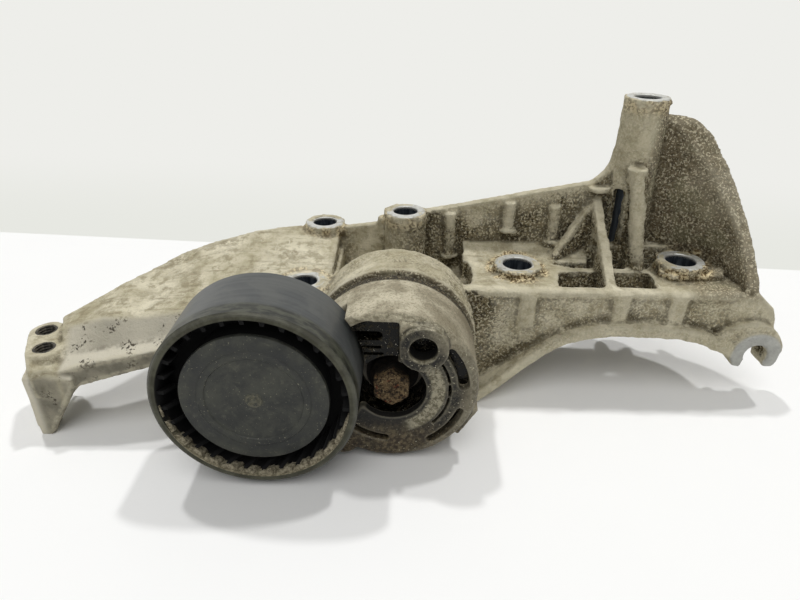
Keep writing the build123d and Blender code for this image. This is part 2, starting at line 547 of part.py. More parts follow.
def bracket_casting():
    shell, room, seat = cup()
    body = channel() + arch_band() + back_wall() + deck_ribs() + shield_wall() + left_arm() + end_pad()
    body += pillar_strut() + front_panel() + hook() + tube_webs() + shell
    for x, y, low, high, bore in bolt_tubes().values():
        body += rod_z(bore / 2 + tube_wall, low, high, x, y)
    pillar_radius, pillar_low = engine_bore / 2 + tube_wall, deck_top + sink
    body += Pos(pillar_tube_x, pillar_tube_y, (pillar_low + pillar_height - 3 * sink) / 2) * Cone(
        pillar_radius + pillar_taper, pillar_radius, pillar_height - 3 * sink - pillar_low)
    body -= room
    body += seat
    for x, y, low, high, bore in bolt_tubes().values():
        body -= rod_z(bore / 2, low - sink, high + sink, x, y)
        if bore == accessory_bore:
            body -= rod_z(bore / 2 + tube_wall + spot_face, high, far, x, y)
    body -= rod_y(pivot_bolt / 2, sleeve_back - sink, cup_back + pivot_seat_depth + sink, pivot_x, pivot_z)
    body -= pillar_slit()
    body -= Pos(window_x, window_y, deck_top) * Box(window_in_deck[0], window_in_deck[1], 8 * deck_thickness)
    body -= stadium(*end_holes(), end_hole_tap / 2 + end_pad_margin, end_pad_top, far)
    for x, y in end_holes():
        body -= rod_z(end_hole_tap / 2, end_pad_top - end_hole_depth, far, x, y)
    body -= hook_mouth()
    return body


# ================================================================= tensioner housing

def polar(radius, angle, x=pivot_x, z=pivot_z):
    return (x + radius * cos(radians(angle)), z + radius * sin(radians(angle)))


def sector(radius, start, end, front, back, inner=0.0):
    """A sector of a disc round the pivot, between two directions."""
    steps = 12
    angles = [start + (end - start) * i / steps for i in range(steps + 1)]
    near = [polar(inner, a) for a in reversed(angles)] if inner else [(pivot_x, pivot_z)]
    return prism_y([polar(radius / cos(radians((end - start) / steps / 2)), a) for a in angles] + near,
                   front, back)


def arc_slot(radius, width, start, end, front, back):
    """A slot that follows an arc round the pivot, with round ends."""
    ring = rod_y(radius + width / 2, front, back, pivot_x, pivot_z) \
        - rod_y(radius - width / 2, front - 1, back + 1, pivot_x, pivot_z)
    slot = ring & sector(radius + width, start, end, front, back)
    for angle in (start, end):
        x, z = polar(radius, angle)
        slot += rod_y(width / 2, front, back, x, z)
    return slot


def web_half_angle():
    return degrees(acos(sqrt(1 - (arm_web / 2 / drum_radius) ** 2)))


def pin_lug():
    """Boss and facet round the locking pin's hole, with the hole's place."""
    x, z = polar(housing_radius - pin_lug_inset, pin_lug_angle)
    boss = rod_y(pin_lug_bore / 2 + pin_lug_wall, pin_lug_front, drum_front, x, z)
    left, right = pivot_x + window_right, x + pin_lug_bore / 2 + lug_block_past
    facet = prism_y([(left, z - lug_block_low), (right, z), (right, z + lug_block_low + lug_block_past),
                     (left, z + lug_block_high)], housing_front - lug_block_rise, housing_front + sink)
    return boss + (facet & rod_y(housing_radius, -far, far, pivot_x, pivot_z)), x, z


def tensioner_housing():
    """Drum fixed over the arm and turning with it, with a window for both and a locking-pin lug."""
    shell = rod_y(housing_radius, housing_front, housing_back, pivot_x, pivot_z)
    shell = fillet(shell.edges().filter_by(GeomType.CIRCLE).sort_by(Axis.Y)[0], housing_edge_round)
    badge_front = housing_front + badge_setback
    shell += rod_y(badge_radius, badge_front, badge_front + badge_depth,
                   *polar(housing_radius - badge_inset, badge_angle))
    shell -= rod_y(drum_radius, drum_front, housing_back + sink, pivot_x, pivot_z)
    shell += rod_y(housing_radius - rim_step, housing_back - housing_rim, housing_back, pivot_x, pivot_z)
    shell += rod_y(spigot_radius, housing_back - housing_rim, housing_back + spigot_length, pivot_x, pivot_z)
    shell -= rod_y(spigot_bore, housing_back - housing_rim - sink, housing_back + spigot_length + sink,
                   pivot_x, pivot_z)
    lug, lug_x, lug_z = pin_lug()
    tab = Pos(pivot_x, housing_front + flat_lug_setback, pivot_z) * Rot(0, flat_lug_angle, 0) \
        * Pos(housing_radius - flat_lug_sink, 0, 0) * Box(*flat_lug)
    body = shell + lug + tab
    body -= rod_y(eye_radius, pin_lug_front - sink, drum_front + sink, pivot_x, pivot_z)
    reach = 2 * housing_radius
    roof = pivot_z + housing_radius - roof_wall
    window = prism_y([(pivot_x + window_right, pivot_z + window_right_low), (pivot_x + window_right, roof),
                      (pivot_x - reach, roof), (pivot_x - reach, pivot_z - window_low),
                      (pivot_x - window_left, pivot_z - window_low)], pin_lug_front - sink, drum_front)
    body -= window
    body -= rod_y(pulley_clear, pin_lug_front - sink, arm_front, pulley_x, pulley_z)
    half = web_half_angle() + 0.5
    body -= sector(reach, arm_rest - half, arm_rest + half, pin_lug_front - sink, arm_back, drum_radius)
    body -= rod_y(pin_lug_bore / 2, pin_lug_front - sink, drum_front + sink, lug_x, lug_z)
    for (inset, width), (start, end) in zip(slot_places, slot_angles):
        body -= arc_slot(housing_radius - inset, width, start, end, housing_front - sink, drum_front + sink)
    return body


# ================================================================= tensioner arm, pivot and spring

def arm_local(along, across):
    """A point beside the arm's centre line, as (x, z)."""
    angle = radians(arm_rest)
    return (pivot_x + along * cos(angle) + across * sin(angle),
            pivot_z + along * sin(angle) - across * cos(angle))


def tensioner_arm():
    """Drum on the pivot, web and end plate that carries the pulley."""
    drum = rod_y(drum_radius, drum_front, arm_back, pivot_x, pivot_z)
    drum -= rod_y(pulley_clear, drum_front - sink, arm_front, pulley_x, pulley_z)
    web = prism_y([arm_local(0, -arm_web / 2), arm_local(arm_length, -arm_end_radius),
                   arm_local(arm_length, arm_end_radius), arm_local(0, arm_web / 2)], arm_front, arm_back)
    sleeve = rod_y(sleeve_radius, arm_back - sink, sleeve_back, pivot_x, pivot_z)
    body = drum + web + rod_y(arm_end_radius, arm_front, arm_back, pulley_x, pulley_z) + sleeve
    body -= rod_y(eye_radius, drum_front - sink, tube_front, pivot_x, pivot_z)
    body -= rod_y(pivot_tube / 2 + bush_wall, tube_front - sink, sleeve_back + sink, pivot_x, pivot_z)
    body -= rod_y(pulley_bolt / 2, arm_front - sink, arm_back + sink, pulley_x, pulley_z)
    for left, height, length, width, depth in arm_pockets:
        body -= arm_pocket(pivot_x - left, pivot_z + height, length, width, depth)
    return body


def arm_pocket(x, z, length, width, depth):
    """A slot with round ends in the drum's front face, from (x, z) to the left."""
    slot = Pos(x - length / 2, drum_front, z) * Box(length, 2 * depth, width)
    for end in (x, x - length):
        slot += rod_y(width / 2, drum_front - depth, drum_front + depth, end, z)
    return slot


def damping_bush():
    """Plastic bush in the cup's mouth, that the housing's spigot turns in."""
    return rod_y(spring_room, cup_front, housing_back + spigot_length - gap, pivot_x, pivot_z) \
        - rod_y(spring_room - damper_thickness, cup_front - sink, cup_back, pivot_x, pivot_z)


def pivot_bush():
    outer = pivot_tube / 2 + bush_wall
    return rod_y(outer, tube_front, sleeve_back, pivot_x, pivot_z) \
        - rod_y(pivot_tube / 2 + running, tube_front - sink, sleeve_back + sink, pivot_x, pivot_z)


def pivot_sleeve():
    """Steel tube that the arm turns on, clamped by the pivot bolt."""
    back = sleeve_back + thrust_thickness
    return rod_y(pivot_tube / 2, washer_back, back, pivot_x, pivot_z) \
        - rod_y(pivot_bolt / 2, washer_back - sink, back + sink, pivot_x, pivot_z)


def pivot_washer():
    front = washer_back - washer_height
    return rod_y(washer_radius, front, washer_back, pivot_x, pivot_z) \
        - rod_y(pivot_bolt / 2, front - sink, washer_back + sink, pivot_x, pivot_z)


def pivot_screw():
    seat = washer_back - washer_height
    shank = rod_y(pivot_bolt / 2, seat, cup_back + pivot_thread_depth, pivot_x, pivot_z)
    head = hexagon(pivot_head_af, seat - pivot_head_height, seat, pivot_x, pivot_z)
    return shank + head + rod_y(pivot_flange_radius, seat - pivot_flange_height, seat, pivot_x, pivot_z)


def torsion_spring():
    """Coil spring round the arm's sleeve, in the cup."""
    length = spring_back - spring_front
    coil = Helix(pitch=length / spring_turns, height=length, radius=spring_radius)
    section = Plane(origin=coil @ 0, z_dir=coil % 0) * Circle(spring_wire / 2)
    wire = sweep(section, path=coil)
    return Pos(pivot_x, spring_back, pivot_z) * Rot(90, 0, 0) * wire


def spring_seat():
    """Plastic ring between the arm and the spring."""
    back = arm_back + seat_thickness
    return rod_y(spigot_bore - gap, arm_back, back, pivot_x, pivot_z) \
        - rod_y(sleeve_radius, arm_back - sink, back + sink, pivot_x, pivot_z)


def thrust_washer():
    """Low-friction washer between the arm's sleeve and the cup's seat."""
    back = sleeve_back + thrust_thickness
    return rod_y(sleeve_radius - thrust_step, sleeve_back + seal_lift, back, pivot_x, pivot_z) \
        - rod_y(pivot_tube / 2 + running, sleeve_back - sink, back + sink, pivot_x, pivot_z)


def groove_seal():
    """Dust seal in the groove between the housing and the cup."""
    return rod_y(housing_radius - seal_setback, housing_back + seal_lift, cup_front, pivot_x, pivot_z) \
        - rod_y(spigot_radius + 2 * seal_lift, housing_back - sink, cup_front + sink, pivot_x, pivot_z)


# ================================================================= pulley and bearing

def on_pulley(radius, front, back):
    return rod_y(radius, front, back, pulley_x, pulley_z)


def pulley_ring(outer, inner, front, back):
    return on_pulley(outer, front, back) - on_pulley(inner, front - sink, back + sink)


def pulley_rim():
    """Moulded pulley: belt rim with slanted ribs inside, web and bearing hub."""
    radius = belt_diameter / 2
    inner = radius - rim_wall
    rim = on_pulley(radius, pulley_front, pulley_back)
    rim = chamfer(rim.edges().filter_by(GeomType.CIRCLE), edge_chamfer)
    rim -= on_pulley(inner, pulley_front - sink, pulley_back + sink)
    hub_outer = bearing_outer / 2 + hub_wall
    hub_back = bearing_back + hub_lip
    web_front = belt_y - pulley_web_shift
    hub = pulley_ring(hub_outer, bearing_outer / 2, pulley_front + cap_setback + cap_thickness, hub_back)
    lip = pulley_ring(bearing_outer / 2 + sink, bearing_outer / 2 - hub_lip_step, bearing_back, hub_back)
    web = pulley_ring(inner + sink / 2, hub_outer - sink, web_front, web_front + pulley_web)
    ribs = Part()
    rib_outer, rib_front = inner + pulley_rib_sink, pulley_front + pulley_rib_front
    rib_length = web_front - pulley_front - sink
    blade = Pos(rib_outer - pulley_rib_height / 2, 0, 0) * Rot(pulley_rib_slant, 0, 0) \
        * Box(pulley_rib_height + 2 * pulley_rib_sink, rib_length + 6 * sink, pulley_rib_thickness)
    middle = Pos(pulley_x, rib_front + rib_length / 2, pulley_z)
    for i in range(pulley_rib_count):
        ribs += middle * Rot(0, 360 * i / pulley_rib_count, 0) * blade
    zone = pulley_ring(rib_outer, inner - pulley_rib_height, rib_front, web_front + sink)
    return rim + hub + lip + web + (ribs & zone)


def dust_cap():
    """Snap-in cap over the bearing."""
    front = pulley_front + cap_setback
    back = front + cap_thickness
    raised, inside = front - cap_ring_height, front + sink / 2
    skirt_radius = bearing_outer / 2
    skirt = pulley_ring(skirt_radius, skirt_radius - cap_skirt_wall, back - sink / 2, back + cap_skirt)
    rings = pulley_ring(cap_ring_outer, cap_ring_inner, raised, inside)
    rings += pulley_ring(cap_dot, cap_dot - sink, raised, inside)
    return on_pulley(cap_radius, front, back) + skirt + rings


def groove():
    """Ball track: a torus round the pulley axis."""
    track = Torus(pitch_radius, ball_diameter / 2 + race_gap)
    return Pos(pulley_x, (bearing_front + bearing_back) / 2, pulley_z) * Rot(90, 0, 0) * track


def bearing_inner_ring():
    return pulley_ring(inner_land, bearing_bore / 2, bearing_front, bearing_back) - groove()


def bearing_outer_ring():
    return pulley_ring(bearing_outer / 2, outer_land, bearing_front, bearing_back) - groove()


def ball_places():
    middle = (bearing_front + bearing_back) / 2
    for i in range(ball_count):
        angle = radians(360 * i / ball_count)
        yield (pulley_x + pitch_radius * cos(angle), middle, pulley_z + pitch_radius * sin(angle))


def bearing_balls():
    return Part() + [Pos(*place) * Sphere(ball_diameter / 2) for place in ball_places()]


def bearing_cage():
    middle = (bearing_front + bearing_back) / 2
    ring = pulley_ring(pitch_radius + cage_wall / 2, pitch_radius - cage_wall / 2,
                       middle - cage_width / 2, middle + cage_width / 2)
    pocket = Pos(pitch_radius, 0, 0) * Rot(0, 90, 0) * Cylinder(ball_diameter / 2 + race_gap, 6 * cage_wall)
    for i in range(ball_count):
        ring -= Pos(pulley_x, middle, pulley_z) * Rot(0, -360 * i / ball_count, 0) * pocket
    return ring


def bearing_seal(front):
    return pulley_ring(outer_land, inner_land + seal_gap, front, front + seal_thickness)


def pulley_spacer():
    """Stepped bush: the bearing sits on its nose, its flange stands on the arm."""
    nose = on_pulley(bearing_bore / 2, bearing_front, bearing_back + sink)
    flange = on_pulley(spacer_flange, bearing_back, arm_front)
    return nose + flange - on_pulley(pulley_bolt / 2, bearing_front - sink, arm_front + sink)


def pulley_washer():
    return pulley_ring(inner_land, pulley_bolt / 2, bearing_front - pulley_washer_height, bearing_front)


def pulley_screw():
    seat = bearing_front - pulley_washer_height
    shank = on_pulley(pulley_bolt / 2, seat, arm_back)
    return shank + hexagon(pulley_head_af, seat - pulley_head_height, seat, pulley_x, pulley_z)


def rear_shield():
    front = bearing_back + hub_lip + shield_gap
    return pulley_ring(shield_radius, spacer_flange, front, front + shield_disc)


# ================================================================= files

NODES = {
    "bracket_casting": bracket_casting,
    "tensioner_housing": tensioner_housing,
    "pivot_sleeve": pivot_sleeve,
    "pivot_washer": pivot_washer,
    "pivot_bolt": pivot_screw,
    "thrust_washer": thrust_washer,
    "groove_seal": groove_seal,
    "damping_bush": damping_bush,
    "torsion_spring": torsion_spring,
    "tensioner_arm": tensioner_arm,
    "pivot_bush": pivot_bush,
    "spring_seat": spring_seat,
    "pulley_spacer": pulley_spacer,
    "pulley_washer": pulley_washer,
    "pulley_bolt": pulley_screw,
    "rear_shield": rear_shield,
    "bearing_inner_ring": bearing_inner_ring,
    "bearing_balls": bearing_balls,
    "bearing_cage": bearing_cage,
    "bearing_outer_ring": bearing_outer_ring,
    "bearing_seal_front": lambda: bearing_seal(bearing_front + seal_inset),
    "bearing_seal_rear": lambda: bearing_seal(bearing_back - seal_inset - seal_thickness),
    "pulley_rim": pulley_rim,
    "dust_cap": dust_cap,
}

os.makedirs("parts", exist_ok=True)
for name, make in NODES.items():
    export_step(make(), "parts/" + name + ".step")
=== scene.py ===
import json
from itertools import product
from math import cos, pi, radians, sin
from types import SimpleNamespace

import bmesh
import bpy
import numpy as np
from mathutils import Matrix, Vector
from mathutils.bvhtree import BVHTree
from mathutils.kdtree import KDTree


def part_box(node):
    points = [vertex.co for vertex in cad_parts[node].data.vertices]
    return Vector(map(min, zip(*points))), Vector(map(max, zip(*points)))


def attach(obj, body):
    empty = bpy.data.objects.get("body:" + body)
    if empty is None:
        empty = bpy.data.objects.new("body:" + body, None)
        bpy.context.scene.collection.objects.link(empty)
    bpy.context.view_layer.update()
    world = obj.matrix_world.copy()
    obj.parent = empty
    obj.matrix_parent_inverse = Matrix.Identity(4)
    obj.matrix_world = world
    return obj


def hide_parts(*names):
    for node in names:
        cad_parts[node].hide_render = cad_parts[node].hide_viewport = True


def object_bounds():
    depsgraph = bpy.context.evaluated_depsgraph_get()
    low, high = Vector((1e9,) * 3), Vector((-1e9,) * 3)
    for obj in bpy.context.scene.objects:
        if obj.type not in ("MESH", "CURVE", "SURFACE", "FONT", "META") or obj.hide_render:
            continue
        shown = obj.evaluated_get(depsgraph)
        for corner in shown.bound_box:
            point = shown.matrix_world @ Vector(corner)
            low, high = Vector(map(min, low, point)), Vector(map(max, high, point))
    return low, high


# Looks of the accessory bracket with its belt tensioner, in the CAD model's frame: +Z up, the belt runs at
# negative Y, the hook is at +X. Blender's units and the record's are metres, and all other lengths are in mm.
# A mask is 0 where something doesn't show and 1 where it shows in full. ease(x, 10, 24) fades one in between
# the places x = 10 and x = 24, and ease(x, 24, 10) fades it in the other way.

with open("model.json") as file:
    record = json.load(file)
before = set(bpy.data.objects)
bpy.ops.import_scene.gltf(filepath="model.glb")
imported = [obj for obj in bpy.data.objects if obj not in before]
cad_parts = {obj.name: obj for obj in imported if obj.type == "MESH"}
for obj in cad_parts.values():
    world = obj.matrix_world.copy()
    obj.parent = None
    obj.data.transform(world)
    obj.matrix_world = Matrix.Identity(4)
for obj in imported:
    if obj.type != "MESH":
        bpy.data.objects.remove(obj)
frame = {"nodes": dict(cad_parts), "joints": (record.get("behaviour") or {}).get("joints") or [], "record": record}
cad_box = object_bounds()

MM = 0.001
MOUNTS = {mount["name"]: mount for mount in frame["record"]["mounts"]}
JOINTS = {joint["name"]: joint for joint in frame["joints"]}
PIVOT = Vector(JOINTS["arm_swing"]["pos_m"])
PULLEY = Vector(JOINTS["pulley_spin"]["pos_m"])

DEEP_BORE = 20                         # a longer round mount is a bolt tube's bore, a shorter one is threaded
HOOK_FRONT = -38.0                     # the plane of the hook's front
LUG_ACROSS, LUG_ABOVE = 11.2, 19.8     # the locking-pin lug's axis, from the pivot's
RIM_INSIDE = 33.35                     # radius of the pulley rim's inner wall, where dust cakes
RIBS, RIB_TURN = 30, 2.0               # ribs in the rim's front, and how far they are turned, in degrees
SMALL_HOLLOWS, WIDE_HOLLOWS = 24, 114  # rounds of relaxing that close an edge's hollow or a whole pocket


# ================================================================= small helpers

def srgb(red, green, blue):
    """A linear colour from 0 to 255 screen values."""
    def linear(value):
        value /= 255
        return value / 12.92 if value <= 0.04045 else ((value + 0.055) / 1.055) ** 2.4
    return (linear(red), linear(green), linear(blue), 1.0)


def ease(values, low, high):
    """0 at low, 1 at high and smooth between; low may be the larger one."""
    part = np.clip((values - low) / (high - low), 0, 1)
    return part * part * (3 - 2 * part)


def lumps(points, size, seed):
    """Smooth random values from 0 to 1 at the points, with lumps of the given size."""
    grid = points / size + seed * 17.3
    cell = np.floor(grid).astype(np.int64)
    part = grid - cell
    part = part * part * (3 - 2 * part)
    total = np.zeros(len(points))
    for corner in product((0, 1), repeat=3):
        weight = np.prod(np.where(corner, part, 1 - part), axis=1)
        key = (cell + corner) @ np.array([73856093, 19349663, 83492791])
        key = (key ^ (key >> 13)) * 1274126177 & 0xFFFFFFFF
        total += weight * ((key ^ (key >> 16)) & 0xFFFF) / 0xFFFF
    return total


def new_object(name, mesh):
    obj = bpy.data.objects.new(name, mesh)
    bpy.context.scene.collection.objects.link(obj)
    return obj


def outward(mesh):
    """Turns all faces of a closed mesh outward."""
    work = bmesh.new()
    work.from_mesh(mesh)
    bmesh.ops.recalc_face_normals(work, faces=work.faces)
    work.to_mesh(mesh)
    work.free()


def shade_smooth(mesh, sharp):
    """Smooth shading, with edges that bend by more than sharp degrees kept crisp."""
    mesh.polygons.foreach_set("use_smooth", np.ones(len(mesh.polygons), bool))
    mesh.set_sharp_from_angle(angle=radians(sharp))


def solid(name, verts, faces, material, sharp):
    """An object from corner points in metres and the faces between them."""
    mesh = bpy.data.meshes.new(name)
    mesh.from_pydata(verts, [], faces)
    outward(mesh)
    shade_smooth(mesh, sharp)
    mesh.materials.append(material)
    return new_object(name, mesh)


def facing(centre, axis):
    """The matrix that takes the origin to the centre and +Z to the axis."""
    return Matrix.Translation(centre) @ Vector(axis).to_track_quat("Z", "Y").to_matrix().to_4x4()


def turned_points(profile, turn):
    """A profile's (radius, height) points in mm, turned about +Z, in metres."""
    return [(radius * MM * cos(turn), radius * MM * sin(turn), height * MM) for radius, height in profile]


def ring(name, profile, centre, material, segments=96):
    """A ring turned from a closed profile of (radius, height) points round the upright axis at the centre."""
    count = len(profile)
    verts, faces = [], []
    for i in range(segments):
        verts += turned_points(profile, 2 * pi * i / segments)
        step = count if i < segments - 1 else -i * count
        sides = [(i * count + k, i * count + (k + 1) % count) for k in range(count)]
        faces += [(a, b, b + step, a + step) for a, b in sides]
    obj = solid(name, verts, faces, material, sharp=35)
    obj.matrix_world = facing(centre, (0, 0, 1))
    return obj


def disc(name, profile, centre, axis, material, segments=128):
    """A disc turned from (radius, height) points, of which the first and the last lie on the axis."""
    verts = turned_points((profile[0], profile[-1]), 0)
    faces, count = [], len(profile) - 2
    for i in range(segments):
        a, b = 2 + i * count, 2 + (i + 1) % segments * count
        verts += turned_points(profile[1:-1], 2 * pi * i / segments)
        faces += [(0, a, b), (1, b + count - 1, a + count - 1)]
        faces += [(a + k, a + k + 1, b + k + 1, b + k) for k in range(count - 1)]
    obj = solid(name, verts, faces, material, sharp=20)
    obj.data.transform(facing(centre, axis))
    return obj


def block_faces(base, nx, ny, nz):
    """Outer faces of a block of (nx, ny, nz) cells whose corner points start at base."""
    def at(i, j, k):
        return base + (i * (ny + 1) + j) * (nz + 1) + k
    faces = []
    for i, j in product(range(nx), range(ny)):
        faces += [(at(i, j, k), at(i + 1, j, k), at(i + 1, j + 1, k), at(i, j + 1, k)) for k in (0, nz)]
    for i, k in product(range(nx), range(nz)):
        faces += [(at(i, j, k), at(i + 1, j, k), at(i + 1, j, k + 1), at(i, j, k + 1)) for j in (0, ny)]
    for j, k in product(range(ny), range(nz)):
        faces += [(at(i, j, k), at(i, j + 1, k), at(i, j + 1, k + 1), at(i, j, k + 1)) for i in (0, nx)]
    return faces


def add_part(obj, body="bracket"):
    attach(obj, body)


# ================================================================= node trees

class Tree:
    """Shorthand for the node tree of a material or a world. Sizes in textures are in mm."""

    def __init__(self, owner):
        owner.use_nodes = True
        self.owner = owner
        self.tree = owner.node_tree
        self.tree.nodes.clear()

    def node(self, kind, inputs=(), **settings):
        node = self.tree.nodes.new(kind)
        for key, value in settings.items():
            setattr(node, key, value)
        for key, value in dict(inputs).items():
            self.put(node.inputs[key], value)
        return node

    def put(self, socket, value):
        if isinstance(value, bpy.types.NodeSocket):
            self.tree.links.new(value, socket)
        else:
            socket.default_value = value

    def math(self, operation, a, b=0.0):
        return self.node("ShaderNodeMath", {0: a, 1: b}, operation=operation).outputs[0]

    def times(self, a, b):
        return self.math("MULTIPLY", a, b)

    def plus(self, a, b):
        return self.math("ADD", a, b)

    def minus(self, a, b):
        return self.math("SUBTRACT", a, b)

    def place(self, stretch=(1, 1, 1)):
        """Object coordinates in mm, in which textures come out stretched along the axes."""
        source = self.node("ShaderNodeTexCoord").outputs["Object"]
        scale = [1 / (MM * s) for s in stretch]
        return self.node("ShaderNodeMapping", {"Vector": source, "Scale": scale}).outputs[0]

    def part(self, axis):
        """One object coordinate in mm."""
        return self.node("ShaderNodeSeparateXYZ", {0: self.place()}).outputs[axis]

    def attribute(self, name):
        return self.node("ShaderNodeAttribute", attribute_name=name).outputs["Fac"]

    def noise(self, size, detail=3.0, rough=0.55, twist=0.0, stretch=(1, 1, 1)):
        inputs = {"Vector": self.place(stretch), "Scale": 1 / size, "Detail": detail, "Roughness": rough,
                  "Distortion": twist}
        return self.node("ShaderNodeTexNoise", inputs).outputs["Fac"]

    def between(self, value, low, high, start=0.0, end=1.0):
        """Takes low..high to start..end, smoothly and clamped."""
        inputs = {"Value": value, "From Min": low, "From Max": high, "To Min": start, "To Max": end}
        return self.node("ShaderNodeMapRange", inputs, interpolation_type="SMOOTHSTEP").outputs[0]

    def spots(self, size, detail, rough, low, high, most=1.0, twist=0.0, stretch=(1, 1, 1)):
        """Mask of the spots where a noise rises from low to high, with most as its largest value."""
        return self.between(self.noise(size, detail, rough, twist, stretch), low, high, 0.0, most)

    def mix(self, factor, a, b):
        """The colour a, or b as far as the factor says."""
        node = self.node("ShaderNodeMix", data_type="RGBA")
        self.put(node.inputs[0], factor)
        self.put(node.inputs[6], a)
        self.put(node.inputs[7], b)
        return node.outputs[2]

    def dusty(self, tone, size):
        """A colour that varies softly, darker and lighter by about a seventh."""
        light = tuple(min(c * 1.14, 1) for c in tone[:3]) + (1,)
        dark = tuple(c * 0.84 for c in tone[:3]) + (1,)
        return self.mix(self.spots(size, 4, 0.6, 0.3, 0.7), dark, light)

    def bump(self, height, depth, before=None):
        """A normal for a height from 0 to 1 that stands for depth in mm, on top of an earlier bump."""
        inputs = {"Height": height, "Distance": depth * MM, "Strength": 1.0}
        if before is not None:
            inputs["Normal"] = before
        return self.node("ShaderNodeBump", inputs).outputs[0]

    def seen_directly(self):
        """1 for camera, mirror and see-through rays, 0 for the light that lands on the object."""
        path = self.node("ShaderNodeLightPath")
        either = self.math("MAXIMUM", path.outputs["Is Camera Ray"], path.outputs["Is Transmission Ray"])
        return self.math("MAXIMUM", either, path.outputs["Is Glossy Ray"])

    def surface(self, colour, roughness, normal, metallic=0.0, **sockets):
        """Ends the tree in a shader, and gives the material. Further sockets hold constant values."""
        inputs = {"Base Color": colour, "Roughness": roughness, "Metallic": metallic, "Normal": normal}
        shader = self.node("ShaderNodeBsdfPrincipled", inputs)
        for socket, value in sockets.items():
            shader.inputs[socket.replace("_", " ")].default_value = value
        self.node("ShaderNodeOutputMaterial", {"Surface": shader.outputs[0]})
        return self.owner


def new_material(name):
    return Tree(bpy.data.materials.new(name))


# ================================================================= camera, light and floor

def place_camera():
    """In front of the part and a little above it, looking down at it."""
    position = (0.0025, -0.262, 0.170)
    pitch, yaw, roll = radians(28.70), radians(-1.02), radians(0.52)
    forward = Vector((sin(yaw) * cos(pitch), cos(yaw) * cos(pitch), -sin(pitch)))
    level = Vector((cos(yaw), -sin(yaw), 0))
    upward = level.cross(forward)
    right = level * cos(roll) + upward * sin(roll)
    top = upward * cos(roll) - level * sin(roll)
    data = bpy.data.cameras.new("camera")
    data.lens, data.sensor_width, data.clip_start = 27.376, 36, 0.01
    camera = new_object("camera", data)
    camera.matrix_world = Matrix.Translation(position) @ Matrix((right, top, -forward)).transposed().to_4x4()
    bpy.context.scene.camera = camera


def lamp(name, toward, strength, softness):
    """A distant lamp in the direction toward, with an apparent width of softness degrees."""
    data = bpy.data.lights.new(name, "SUN")
    data.energy, data.angle = strength, radians(softness)
    obj = new_object(name, data)
    obj.rotation_euler = Vector(toward).to_track_quat("Z", "Y").to_euler()
    obj.location = Vector(toward).normalized()


def studio():
    """Pale surroundings that are brighter overhead, two lamps with fairly sharp shadows and one soft lamp."""
    world = bpy.data.worlds.new("studio")
    bpy.context.scene.world = world
    tree = Tree(world)
    direction = tree.node("ShaderNodeTexCoord").outputs["Generated"]
    height = tree.node("ShaderNodeSeparateXYZ", {0: direction}).outputs["Z"]
    ambient = tree.between(height, -0.1, 0.8, 0.10, 0.30)
    strength = tree.node("ShaderNodeMix", {"Factor": tree.seen_directly(), "A": ambient, "B": 0.82})
    light = tree.node("ShaderNodeBackground", {"Color": (1, 1, 0.985, 1), "Strength": strength.outputs[0]})
    tree.node("ShaderNodeOutputWorld", {"Surface": light.outputs[0]})
    lamp("left", toward=(-0.26, 0.33, 1), strength=0.86, softness=3.5)
    lamp("right", toward=(0.30, 0.28, 1), strength=0.86, softness=3.5)
    lamp("front", toward=(0.0, -0.55, 1), strength=1.02, softness=45)


def floor():
    """White table top; past its slanting back edge the pale ground is a little greyer, with painted shade at its
    foot that fades out further back.
    """
    tree = new_material("table")
    slant, back_edge, far_end, half = 0.077, 116.5, 330, 6.0
    past = tree.plus(tree.part("Y"), tree.times(tree.part("X"), slant))
    edge = tree.between(past, back_edge, back_edge + 2)
    # Painted shade: the ground is greyest just past the back edge and lighter further back.
    ground = tree.mix(tree.between(past, back_edge + 3.5, far_end), srgb(231, 232, 226), srgb(238, 238, 234))
    mottle = tree.spots(60, 3.0, 0.55, 0.3, 0.7, most=0.04)
    white = tree.mix(mottle, (0.93, 0.93, 0.92, 1), (0.80, 0.80, 0.79, 1))
    shader = tree.node("ShaderNodeBsdfDiffuse", {"Color": tree.mix(edge, white, ground)})
    glow = tree.node("ShaderNodeEmission", {"Color": ground, "Strength": 1.0})
    away = tree.times(edge, tree.seen_directly())
    both = tree.node("ShaderNodeMixShader", {0: away, 1: shader.outputs[0], 2: glow.outputs[0]})
    tree.node("ShaderNodeOutputMaterial", {"Surface": both.outputs[0]})
    corners = [(-half, -half, 0), (half, -half, 0), (half, half, 0), (-half, half, 0)]
    mesh = bpy.data.meshes.new("table")
    mesh.from_pydata(corners, [], [(0, 1, 2, 3)])
    mesh.materials.append(tree.owner)
    new_object("table", mesh)


# ================================================================= materials

def dirt_film(tree):
    """Tan film on the casting's open faces, with streaks, scratches and brown scabs."""
    scab_mask = tree.times(tree.attribute("crust"), tree.spots(3.2, 5, 0.75, 0.43, 0.52))
    dark_grain = tree.between(tree.noise(0.75, 3, 0.75), 0.30, 0.42, 0.35, 0.0)
    film = tree.mix(tree.spots(24, 5, 0.65, 0.34, 0.66, twist=0.6), srgb(174, 166, 138), srgb(218, 211, 187))
    film = tree.mix(tree.spots(5, 4, 0.7, 0.46, 0.64, 0.65), film, srgb(136, 126, 98))
    film = tree.mix(tree.spots(2.4, 4, 0.7, 0.54, 0.66, 0.45, 0.3, (7, 1, 1)), film, srgb(120, 111, 86))
    film = tree.mix(tree.spots(1.2, 3, 0.7, 0.66, 0.71, 0.5, 0.2, (1, 9, 2)), film, srgb(228, 222, 202))
    film = tree.mix(dark_grain, film, srgb(96, 88, 66))
    return tree.mix(tree.times(scab_mask, 0.85), film, srgb(112, 101, 74))


